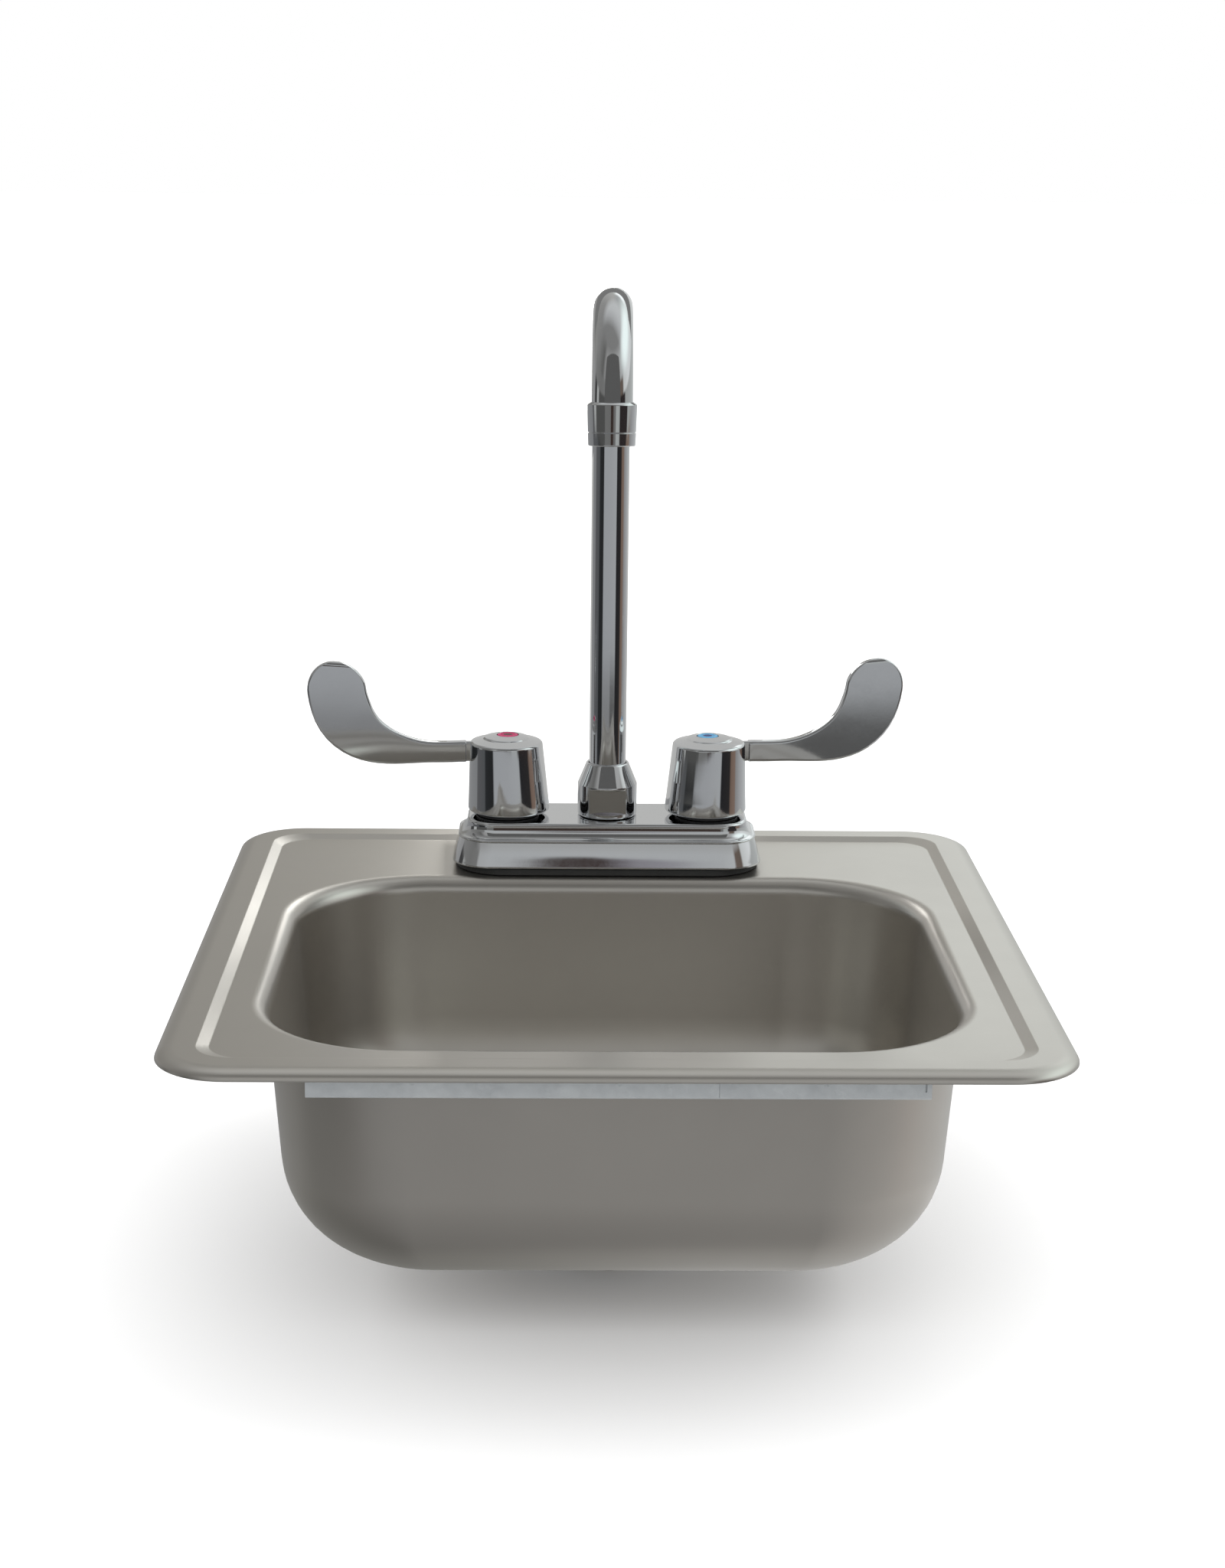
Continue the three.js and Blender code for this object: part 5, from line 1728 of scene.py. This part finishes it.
@dataclass
class GooseneckSpout:
    """Bent tube with its coupling nut and its aerator."""

    finishes: Finishes
    tube_radius: float = 9.3
    tube_wall: float = 1.2
    bend_radius: float = 44.45
    outlet_tilt: float = 4.5
    oval: float = 0.03
    tail: float = 12.0
    rest_turn: float = 0.9
    bend_steps: int = 44
    riser_steps: int = 6
    sides: int = 56
    nut_radius: float = 15.1
    nut_flat: float = 9.3
    nut_high: float = 16.2
    nut_top: float = 10.8
    nut_chamfer: float = 0.8
    nut_flat_rise: float = 2.4
    nut_flat_drop: float = 1.5
    thread_radius: float = 11.25
    aerator_top: float = 11.6
    aerator_end: float = 10.95
    aerator_high: float = 20.0
    aerator_lap: float = 13.0
    aerator_wall: float = 1.1
    groove: float = 0.3
    groove_rise: float = 6.2
    shoulder: float = 1.0
    play: float = 0.3
    seal_high: float = 1.6
    screen_rise: float = 2.2
    screen_high: float = 3.0
    screen_hole: float = 0.8
    screen_rings: tuple[tuple[float, int], ...] = ((0.0, 1), (2.4, 6), (4.7, 12), (7.0, 18))

    def build(self) -> None:
        """Models the nut, the tube and the aerator."""
        self.axis = Extent.of("spout_nut").centre
        self.foot = Extent.of("spout_tube").low.z
        self.bend_z = Extent.of("spout_tube").high.z - self.tube_radius - self.bend_radius
        self.place = about(self.axis, math.radians(-self.rest_turn))
        self._nut()
        self._tube()
        self._aerator()

    def _stations(self) -> list[tuple[float, float, float, float]]:
        """Centreline as y, z, lean and bend share, in the plane of the spout.

        Returns:
            The stations from the foot to the outlet.
        """
        stations = [(0.0, lerp(self.foot, self.bend_z, share), 0.0, 0.0)
                    for share in shares(self.riser_steps)]
        sweep = math.pi - math.radians(self.outlet_tilt)
        for share in shares(self.bend_steps, 1):
            lean = share * sweep
            stations.append((-self.bend_radius * (1 - math.cos(lean)),
                             self.bend_z + self.bend_radius * math.sin(lean), lean,
                             math.sin(lean * HALF)))
        y, z, lean, _ = stations[-1]
        stations.append((y - self.tail * math.sin(lean), z + self.tail * math.cos(lean), lean, 1.0))
        return stations

    def _tube(self) -> None:
        """Tube as loops along its centreline, a little flattened where it bends."""
        blank = Blank("gooseneck_tube")
        outside, inside = [], []
        for y, z, lean, bend in self._stations():
            matrix = (Matrix.Translation((0, y, z)) @ Matrix.Rotation(lean, 4, "X")
                      @ Matrix.Diagonal((1 + self.oval * bend, 1, 1, 1)))
            for loops, wall in ((outside, 0.0), (inside, self.tube_wall)):
                loops.append(blank.circle(self.tube_radius - wall, sides=self.sides, place=matrix))
        inside.reverse()
        blank.skin(outside + inside, joined=True)
        blank.move(self.place)
        finish_piece(blank.as_object(), self.finishes.chrome, Body.SPOUT, "spout_tube",
                     Finishing(crease=50.0))

    def _nut(self) -> None:
        """Coupling nut: round body with two wrench flats, under a cone."""
        box = Extent.of("spout_nut")
        base, bore = box.low.z, self.tube_radius + self.play
        cone, top = base + self.nut_high, box.high.z
        seat = Extent.of("spout_washer").high.z + self.play
        chamfer = self.nut_chamfer
        profile = [(bore, top - chamfer * HALF), (bore, seat), (self.thread_radius, seat),
                   (self.thread_radius, base), (self.nut_radius - chamfer, base),
                   (self.nut_radius - chamfer * 0.3, base + chamfer * 0.3),
                   (self.nut_radius, base + chamfer), (self.nut_radius, cone - 0.3),
                   (self.nut_radius - 0.1, cone + 0.15), (self.nut_top + 0.15, top - chamfer),
                   (self.nut_top - 0.1, top - chamfer * 0.35), (self.nut_top - chamfer * HALF, top),
                   (bore + chamfer * HALF, top)]
        offset = math.sqrt(self.nut_radius ** 2 - self.nut_flat ** 2)
        flats = Blank("wrench_flats")
        low, high = base + self.nut_flat_rise, cone - self.nut_flat_drop
        for side in (1, -1):
            flats.block((self.nut_radius * 2, self.nut_radius, high - low),
                        (self.axis.x, self.axis.y + side * (offset + self.nut_radius * HALF),
                         (low + high) * HALF))
        turned_piece("spout_coupling_nut", profile, self.axis, self.finishes.chrome, Body.SINK,
                     "spout_nut", sides=88, cuts=[flats.as_object()],
                     finishing=Finishing(edge=0.18, edge_angle=22.0, crease=40.0))

    def _aerator(self) -> None:
        """Housing, washer and screen on the outlet, turned in the outlet's direction."""
        y, z, lean, _ = self._stations()[-1]
        outlet = self.place @ Matrix.Translation((0, y, z)) @ Matrix.Rotation(lean, 4, "X")
        bore = self.tube_radius * (1 + self.oval) + self.play
        end = self.aerator_high - self.aerator_lap
        lip = self.aerator_end - self.aerator_wall * 2
        ring_z = end - self.groove_rise
        start = self.shoulder - self.aerator_lap
        seam = lerp(self.aerator_top, self.aerator_end, (ring_z - start) / (end - start))
        profile = [(bore, -self.aerator_lap + 0.3), (bore + 0.3, -self.aerator_lap),
                   (self.aerator_top - 0.35, start - 0.25), (self.aerator_top - 0.05, start + 0.2),
                   (seam, ring_z - self.groove), (seam - self.groove, ring_z - 0.1),
                   (seam - self.groove, ring_z + 0.1), (seam, ring_z + self.groove),
                   (self.aerator_end, end - 0.7)]
        profile += arc((self.aerator_end - 0.6, end - 0.6), 0.6, 15, 90, 4)
        profile += [(lip + 0.3, end), (lip, end - 0.3), (lip, end - self.aerator_wall),
                    (bore, end - self.aerator_wall)]
        low, inner, outer = self.play, self.tube_radius - self.tube_wall, bore - self.play
        seal = [(inner, low), (outer, low), (outer, low + self.seal_high),
                (inner, low + self.seal_high)]
        low = self.screen_rise
        screen = [(0, low), (outer, low), (outer, low + self.screen_high),
                  (0, low + self.screen_high)]
        drills = Blank("screen_drills")
        drills.hole_rings(self.screen_rings, self.screen_hole, low - 1, self.screen_high + 2,
                          Vector((0, 0)), 10)
        for name, outline, material, node, cuts in [
                ("aerator_shell", profile, self.finishes.chrome, "aerator_housing", ()),
                ("aerator_seal", seal, self.finishes.rubber, "aerator_washer", ()),
                ("aerator_mesh", screen, self.finishes.grey, "aerator_screen",
                 [drills.as_object()])]:
            turned_piece(name, outline, Vector((0, 0)), material, Body.SPOUT, node, cuts=cuts,
                         place=outlet, finishing=Finishing(edge=0.08, crease=40.0))


@dataclass
class UnderDeck:
    """What shows below the deck and at the feet of the handles."""

    finishes: Finishes
    shank_radius: float = 10.45
    shank_bore: float = 6.0
    thread_pitch: float = 1.81
    thread_deep: float = 0.7
    crest: Pair = (0.42, 0.58)
    nut_across: float = 30.0
    nut_chamfer: float = 1.3
    bonnet_bore: float = 13.0
    boss_radius: float = 12.7
    pocket_radius: float = 9.6
    bar_wide: float = 11.5
    passage: float = 3.4
    spout_boss: float = 10.95
    spout_bore: float = 9.95
    boss_step: float = 0.4
    boss_gap: float = 0.3
    boss_rise: float = 4.2
    pocket_rise: float = 2.1
    bar_edge: float = 1.5
    bonnet_chamfer: float = 0.8
    play: float = 0.3
    plate_wall: float = 2.5

    def build(self) -> None:
        """Models the waterway, the shank fixings and the bonnet rings."""
        self._waterway()
        for side in ("hot", "cold"):
            self._fixings(side)

    def _thread(self, low: float, high: float, radius: float) -> list[Pair]:
        """Zigzag of thread crests between two heights.

        Args:
            low: Height of the first root.
            high: Height that it stays below.
            radius: Radius of the crests.

        Returns:
            Pairs of radius and height.
        """
        pitch, root = self.thread_pitch, radius - self.thread_deep
        turns = int((high - low) // pitch)
        points = []
        for turn in range(turns):
            foot = low + turn * pitch
            points += [(root, foot)] + [(radius, foot + pitch * share) for share in self.crest]
        points.append((root, low + turns * pitch))
        return points

    def _waterway(self) -> None:
        """Brass casting: bar, spout boss, and a valve boss with a threaded shank at each end."""
        box = Extent.of("waterway")
        plate = Extent.of("base_plate")
        low, top = box.low.z, box.high.z
        bar_top = plate.high.z - self.plate_wall - 1
        bar_low = bar_top - self.bar_wide
        pocket = bar_low + self.pocket_rise
        boss_low = plate.low.z + self.boss_gap
        boss_high = plate.high.z + self.boss_rise
        root = self.shank_radius - self.thread_deep
        valves = valve_centres()
        middle = Vector((0, valves[0].y))
        blank = Blank("brass_waterway")
        blank.block((valves[1].x - valves[0].x, self.bar_wide, self.bar_wide),
                    (*middle, bar_top - self.bar_wide * HALF), self.bar_edge)
        casting = blank.as_object()
        shank = [(0, low), (self.shank_radius - 1.2, low), (root, low + 0.6)]
        shank += self._thread(low + 0.8, boss_low - 2, self.shank_radius)
        shank += [(root, boss_low), (self.boss_radius, boss_low), (self.boss_radius, boss_high),
                  (0, boss_high)]
        bore = [(0, low - 1), (self.shank_bore, low - 1), (self.shank_bore, boss_low),
                (self.passage, boss_low), (self.passage, pocket), (self.pocket_radius, pocket),
                (self.pocket_radius, boss_high + 1), (0, boss_high + 1)]
        joins = [plug("spout_boss", self.spout_boss, bar_low + self.boss_step, top, middle, 56)]
        cuts = [plug("spout_bore", self.spout_bore, pocket, top + 1, middle, 56)]
        for valve in valves:
            joins.append(spindle("valve_boss", shank, valve, 56))
            cuts.append(spindle("valve_bore", bore, valve, 48))
        combine(casting, joins, Cut.JOIN)
        combine(casting, cuts)
        finish_piece(casting, self.finishes.brass, Body.SINK, "waterway", Finishing(crease=32.0))

    def _fixings(self, side: str) -> None:
        """Washer and hexagon locknut on a shank, and the bonnet ring under a handle.

        Args:
            side: Hot or cold.
        """
        centre = Extent.of(f"{side}_shank_washer").centre
        bore = self.shank_radius + self.play
        washer(f"{side}_mounting_washer", f"{side}_shank_washer", bore, centre,
               self.finishes.zinc, Finishing(edge=0.25))
        nut = Extent.of(f"{side}_shank_locknut")
        low, top = nut.low.z, nut.high.z
        blank = Blank(f"{side}_mounting_nut")
        corner = self.nut_across * HALF / math.cos(math.pi / 6)
        blank.prism(blank.circle(corner, low, sides=6), nut.size.z)
        blank.move(about(centre, QUARTER_TURN))
        hexagon = blank.as_object()
        drop = self.nut_chamfer * math.tan(math.radians(30)) + 0.12
        flat, wide = corner - self.nut_chamfer, corner + 0.2
        cone = [(0, low), (flat, low), (wide, low + drop), (wide, top - drop), (flat, top),
                (0, top)]
        combine(hexagon, [spindle("nut_chamfer", cone, centre, 64)], Cut.COMMON)
        drill = [(0, low - 1), (bore + 1, low - 1), (bore + 1, low), (bore, low + 1),
                 (bore, top - 1), (bore + 1, top), (bore + 1, top + 1), (0, top + 1)]
        combine(hexagon, [spindle("nut_bore", drill, centre, 48)])
        finish_piece(hexagon, self.finishes.brass, Body.SINK, f"{side}_shank_locknut",
                     Finishing(edge=0.15, crease=30.0))
        ring = Extent.of(f"{side}_bonnet_ring")
        outer, low, top = ring.size.x * HALF, ring.low.z, ring.high.z
        # The bonnet ring takes the near-black zinc, which is painted shade for the dark gap under
        # the handle hub.
        turned_piece(f"{side}_valve_bonnet", [
            (self.bonnet_bore, low), (outer, low), (outer, top - self.bonnet_chamfer),
            (outer - self.bonnet_chamfer, top), (self.bonnet_bore, top)], centre,
            self.finishes.gap_shade_zinc, Body.SINK, f"{side}_bonnet_ring")


def dress_inner_nodes(finishes: Finishes) -> None:
    """Gives the frame's own inner pieces their finishes.

    Args:
        finishes: Every finish.
    """
    by_node = {"spout_washer": finishes.nylon, "spout_ferrule": finishes.brass,
               "spout_seal": finishes.rubber}
    for side in ("hot", "cold"):
        by_node[f"{side}_cartridge"] = finishes.brass
        by_node[f"{side}_stem"] = finishes.brass
        by_node[f"{side}_handle_screw"] = finishes.zinc
    for node, material in by_node.items():
        coat(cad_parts[node], material)
        LOG.info("%s keeps its solid and takes %s", node, material.name)


@dataclass
class Studio:
    """Pale floor, soft light and the camera at the photograph's angle."""

    camera_place: tuple[float, float, float] = (-27.013, -1219.697, 382.747)
    yaw: float = 1.261
    pitch: float = 14.120
    roll: float = 0.648
    focal_pixels: float = 3557.85
    image_high: float = 2048.0
    sensor: float = 36.0
    floor_half: float = 14.0
    floor_drop: float = 0.0006
    floor_colour: Colour = (0.97, 0.97, 0.97)
    card_warmth: float = 0.98
    cards: tuple[tuple[str, float, float, float, float, float, float], ...] = (
        ("dark_flag", -0.33, 0.33, -0.3, 0.26, 0.75, 0.12),
        ("grey_card", -0.085, 0.085, 0.2, 0.02, 0.2, 0.58),
        ("high_card", -0.35, 0.35, 0.4, 0.35, 0.49, 0.22),
        ("bright_card", -0.10, 0.02, 0.6, 0.18, 0.37, 3.2))
    ceiling_turn: float = 0.45
    ceiling_rise: Pair = (46.0, 60.0)
    ceiling: tuple[tuple[float, Colour], ...] = (
        (0.0, (0.25, 0.25, 0.245)), (0.42, (0.26, 0.26, 0.255)), (0.60, (0.50, 0.51, 0.51)),
        (0.75, (0.62, 0.635, 0.635)), (1.0, (0.68, 0.70, 0.70)))
    spots: tuple[tuple[Pair, Pair, float, Colour], ...] = (
        ((106.0, 38.0), (40.0, 15.0), 0.60, (1.15, 1.28, 1.25)),
        ((1.3, 15.6), (1.7, 2.6), 0.35, (0.30, 0.29, 0.32)),
        ((0.45, 16.2), (1.0, 2.9), 0.30, (0.045, 0.03, 0.026)))
    floor_fade: tuple[Pair, ...] = ((-90.0, 0.45), (-38.0, 0.62), (-18.0, 1.0))
    soft_light: float = 1.32
    panels: tuple[tuple[str, tuple[float, float, float], float, float], ...] = (
        ("key_panel", (1.6, 0.5, 2.2), 12.0, 1.6), ("fill_panel", (-1.4, -1.8, 1.8), 6.0, 1.8))

    def build(self) -> None:
        """Makes the floor, the cards, the surroundings, the lamps and the camera."""
        self._floor()
        for card in self.cards:
            self._card(*card)
        self._surroundings()
        self._lamps()
        self._camera()

    def _camera(self) -> None:
        """Camera from its measured place and angles."""
        yaw, pitch, roll = (math.radians(a) for a in (self.yaw, self.pitch, self.roll))
        ahead = Vector((math.sin(yaw) * math.cos(pitch), math.cos(yaw) * math.cos(pitch),
                        -math.sin(pitch)))
        right = Vector((math.cos(yaw), -math.sin(yaw), 0))
        up = right.cross(ahead)
        tilted_right = right * math.cos(roll) + up * math.sin(roll)
        tilted_up = up * math.cos(roll) - right * math.sin(roll)
        matrix = Matrix((tilted_right, tilted_up, -ahead)).transposed().to_4x4()
        matrix.translation = Vector(self.camera_place) * MM
        data = bpy.data.cameras.new("photo_camera")
        data.sensor_width = self.sensor
        data.lens = self.focal_pixels * self.sensor / self.image_high
        camera = new_object("photo_camera", data)
        camera.matrix_world = matrix
        bpy.context.scene.camera = camera

    def _floor(self) -> None:
        """Pale floor that the metal doesn't mirror."""
        place = Matrix.Translation((0, 0, CAD_BOX[0][2] - self.floor_drop))
        paint = ("BsdfPrincipled",
                 {"Base Color": (*self.floor_colour, 1), "Roughness": 1.0,
                  "Specular IOR Level": 0.0})
        floor = self._panel("studio_floor", self.floor_half, place, *paint)
        floor.visible_glossy = False

    @staticmethod
    def _panel(name: str, half: float, place: Matrix, shader: str,
               inputs: dict) -> Object:
        """Flat square of one shader.

        Args:
            name: Name of the square and of its material.
            half: Half of its side, in metres.
            place: Matrix that stretches it and puts it in place.
            shader: Kind of its shader node.
            inputs: Values of the shader's inputs.

        Returns:
            The square.
        """
        blank = bmesh.new()
        bmesh.ops.create_grid(blank, x_segments=1, y_segments=1, size=half)
        mesh = bpy.data.meshes.new(name)
        blank.to_mesh(mesh)
        blank.free()
        mesh.transform(place)
        material = bpy.data.materials.new(name)
        graph = empty_graph(material)
        graph.node("OutputMaterial", {0: graph.node(shader, inputs).outputs[0]})
        mesh.materials.append(material)
        return new_object(name, mesh)

    def _card(self, name: str, left: float, right: float, y: float, low: float, high: float,
              shade: float) -> None:
        """Stands an upright card of one shade in the studio, which only polished metal mirrors.

        Args:
            name: Name of the card.
            left: Where its left edge stands.
            right: Where its right edge stands.
            y: Where it stands, in front of the sink or behind it.
            low: Height of its lower edge.
            high: Height of its upper edge.
            shade: Its brightness.
        """
        place = (Matrix.Translation(((left + right) * HALF, y, (low + high) * HALF))
                 @ Matrix.Rotation(QUARTER_TURN, 4, "X")
                 @ Matrix.Diagonal(((right - left) * HALF, (high - low) * HALF, 1, 1)))
        colour = (shade, shade, shade * self.card_warmth, 1)
        card = self._panel(name, 1.0, place, "Emission", {0: colour})
        card.visible_camera = card.visible_diffuse = False
        card.visible_shadow = card.visible_transmission = False

    @staticmethod
    def _belts() -> list[tuple[float, float, list[tuple[float, float, float, float]]]]:
        """Belts of the room, from the ground up.

        Returns:
            For each belt the elevation where it starts, half the width over which it blends with
            the belt below, and its stops from behind on the left round by the front, each an
            azimuth with a brightness of red, green and blue in hundredths.
        """
        ground = [(-180, 46, 46, 44), (-144, 42, 42, 41), (-90, 31, 31, 30), (-50, 39, 38.5, 38),
                  (-20, 46, 46, 46), (0, 50, 49.8, 49.6), (25, 63, 62.5, 62), (50, 77, 76, 75),
                  (90, 92, 91, 90), (144, 104, 104, 103), (175, 92, 92, 91), (180, 46, 46, 44)]
        left = [(-180, 40, 41, 41), (-150, 30, 30.5, 31), (-104, 26, 26.5, 27),
                (-99, 12, 12, 12.5), (-71, 10, 10.5, 11), (-68, 2.8, 3, 3.2),
                (-43, 2.2, 2.3, 2.4)]
        right = [(68, 3, 2.8, 2.8), (72, 20, 14, 11), (88, 25, 18, 14.5), (93, 30, 30, 30),
                 (112, 42, 42.5, 43), (130, 50, 51, 51.5), (160, 60, 62, 62), (172, 66, 68, 68),
                 (180, 40, 41, 41)]
        near = left + [(-39, 26, 26.5, 27), (4, 26, 26.5, 27), (10, 11, 11, 10.8),
                       (37, 11, 11, 10.8), (40, 2.2, 2.2, 2.4)] + right
        far = left + [(-39, 40, 41.5, 43), (0, 41, 42.3, 43.6), (37, 44, 45.5, 46.5),
                      (40, 2.2, 2.2, 2.4)] + right
        level = [(-180, 42, 42, 41), (-114, 34, 34, 34), (-111, 6, 6, 6), (-96, 6, 6, 6),
                 (-93, 50, 51, 50), (-82, 48, 49, 48), (-79, 9.5, 9.5, 9.2), (-36, 9.5, 9.5, 9.2),
                 (-33, 19, 19, 18.5), (-8, 18, 18, 17.5), (-6, 5, 3.5, 3), (4, 5, 3.5, 3),
                 (6, 17, 16.5, 16), (15, 19, 19, 18.5), (18, 46, 48, 47), (33, 44, 46, 45),
                 (36, 3.2, 2.5, 2.5), (72, 3.5, 2.8, 2.8), (76, 42, 43, 42), (130, 52, 54, 53),
                 (172, 72, 74, 73), (180, 44, 44, 43)]
        window = [(-180, 50, 49.5, 46), (-174, 34, 33.5, 31), (-166, 27, 26.5, 24.8),
                  (-150, 26, 25.7, 24), (-118, 32, 32, 31), (-105, 24, 24, 23.5),
                  (-70, 20, 20, 19.5), (-46, 22, 22, 21.5), (-40, 46, 47, 47), (0, 50, 51.5, 52),
                  (36, 54, 55.5, 56), (42, 17, 13, 11), (60, 15, 12, 10), (66, 66, 68, 67),
                  (100, 84, 86, 86), (140, 76, 79, 78), (162, 70, 73, 72), (168, 86, 90, 89),
                  (174, 96, 100, 99), (176.5, 68, 70, 67), (180, 52, 51.5, 48)]
        left_wall = [(-180, 50, 50, 48), (-165, 42, 42, 40.5), (-150, 33, 33, 32),
                     (-100, 26, 26, 25.5), (-62, 14, 14, 13.5), (-45, 36, 36, 35.5),
                     (0, 44, 44.5, 44), (45, 46, 46.5, 46), (60, 48, 49, 48.5), (84, 86, 89, 88),
                     (115, 80, 83, 82)]
        sill = left_wall + [(145, 78, 81, 80), (157, 130, 136, 135), (172, 125, 130, 129),
                            (176, 70, 72, 70), (180, 50, 50, 48)]
        wall = left_wall + [(145, 54, 56, 55), (165, 46, 47.5, 47), (180, 50, 50, 48)]
        return [(-90, 0.0, ground), (-24, 5.0, near), (-11.8, 0.5, far), (-4.6, 0.5, level),
                (9.0, 1.5, window), (23.0, 2.5, sill), (36.0, 2.5, wall)]

    @staticmethod
    def _spot(graph: Graph, room: object, azimuth: object, elevation: object,
              centre: Pair, half: Pair, softness: float,
              colour: Colour) -> NodeSocket:
        """Puts an oval patch of one colour on the room.

        Args:
            graph: Graph of the world.
            room: Colour of the room so far.
            azimuth: Azimuth of the ray in degrees.
            elevation: Elevation of the ray in degrees.
            centre: Azimuth and elevation of the patch.
            half: Half of its width and of its height, in degrees.
            softness: Share of its radius over which it fades.
            colour: Its brightness.

        Returns:
            Colour of the room with the patch.
        """
        across = graph.math("DIVIDE", graph.math("SUBTRACT", azimuth, centre[0]), half[0])
        along = graph.math("DIVIDE", graph.math("SUBTRACT", elevation, centre[1]), half[1])
        reach = graph.math("SQRT", graph.math("ADD", graph.math("MULTIPLY", across, across),
                                              graph.math("MULTIPLY", along, along)))
        inside = graph.span(reach, 1 - softness, 1 + softness, 1.0, 0.0,
                            interpolation_type="SMOOTHSTEP")
        return graph.blend(inside, room, (*colour, 1))

    def _surroundings(self) -> None:
        """World that is white to the eye, soft to matt faces and a room to polished ones."""
        world = bpy.data.worlds.new("studio")
        graph = empty_graph(world)
        way = graph.node("TexCoord").outputs["Generated"]
        parts = graph.node("SeparateXYZ", {0: way}).outputs
        turn = graph.math("ARCTAN2", parts[0], graph.math("MULTIPLY", parts[1], -1.0))
        azimuth = graph.math("MULTIPLY", turn, math.degrees(1))
        elevation = graph.math("MULTIPLY", graph.math("ARCSINE", parts[2]), math.degrees(1))
        along = graph.span(azimuth, -180.0, 180.0)
        room: NodeSocket | None = None
        for start, blur, stops in self._belts():
            belt = graph.ramp(along, [((azimuth_stop + 180) / 360, [tone / 100 for tone in tones])
                                      for azimuth_stop, *tones in stops])
            if room is None:
                room = belt
            else:
                room = graph.blend(graph.span(elevation, start - blur, start + blur), room, belt)
        lean = graph.math("ADD", parts[1], graph.math("MULTIPLY", parts[0], self.ceiling_turn))
        ceiling = graph.ramp(graph.span(lean, -0.7, 0.7), self.ceiling)
        room = graph.blend(graph.span(elevation, *self.ceiling_rise), room, ceiling)
        for spot in self.spots:
            room = self._spot(graph, room, azimuth, elevation, *spot)
        fade = graph.ramp(graph.span(elevation, -90.0, 90.0),
                          [((a + 90) / 180, (shade,) * 3) for a, shade in self.floor_fade])
        room = graph.node("Mix", {0: 1.0, 6: room, 7: fade}, data_type="RGBA",
                          blend_type="MULTIPLY").outputs[2]
        rays = graph.node("LightPath").outputs
        seen = graph.blend(rays["Is Glossy Ray"], (*(self.soft_light,) * 3, 1), room)
        seen = graph.blend(rays["Is Camera Ray"], seen, (1, 1, 1, 1))
        shine = graph.node("Background", {0: seen})
        graph.node("OutputWorld", {0: shine.outputs[0]})
        bpy.context.scene.world = world

    def _lamps(self) -> None:
        """Two soft panels that shade matt faces and the floor; the metal mirrors the room."""
        for name, place, power, size in self.panels:
            data = bpy.data.lights.new(name, "AREA")
            data.energy, data.size = power, size
            lamp = new_object(name, data)
            lamp.location = place
            lamp.rotation_euler = (-Vector(place)).to_track_quat("-Z", "Y").to_euler()
            lamp.visible_glossy = False


def main() -> None:
    """Builds the studio and every sub-assembly in order."""
    logging.basicConfig(level=logging.INFO, format="%(name)s: %(message)s")
    bpy.context.scene.view_settings.view_transform = "Standard"
    Studio().build()
    finishes = Finishes()
    hot_plastic: tuple[Colour, Colour, Colour] = ((0.44, 0.018, 0.11), (0.38, 0.014, 0.09),
                                                  (0.07, 0.002, 0.008))
    cold_plastic: tuple[Colour, Colour, Colour] = ((0.11, 0.33, 0.53), (0.09, 0.28, 0.47),
                                                   (0.004, 0.02, 0.12))
    assemblies: list[tuple[str, Callable[[], None]]] = [
        ("sink shell", SinkShell(finishes).build),
        ("clip rails", ClipRails(finishes).build),
        ("drain and basket", DrainSet(finishes).build),
        ("faucet base", FaucetBase(finishes).build),
        ("waterway and fixings", UnderDeck(finishes).build),
        ("hot handle", LeverHandle(finishes, "hot", Body.HOT, 184.0, hot_plastic).build),
        ("cold handle", LeverHandle(finishes, "cold", Body.COLD, 7.5, cold_plastic).build),
        ("gooseneck spout", GooseneckSpout(finishes).build),
    ]
    for label, build in assemblies:
        LOG.info("building the %s", label)
        build()
    dress_inner_nodes(finishes)


if __name__ == "__main__":
    main()
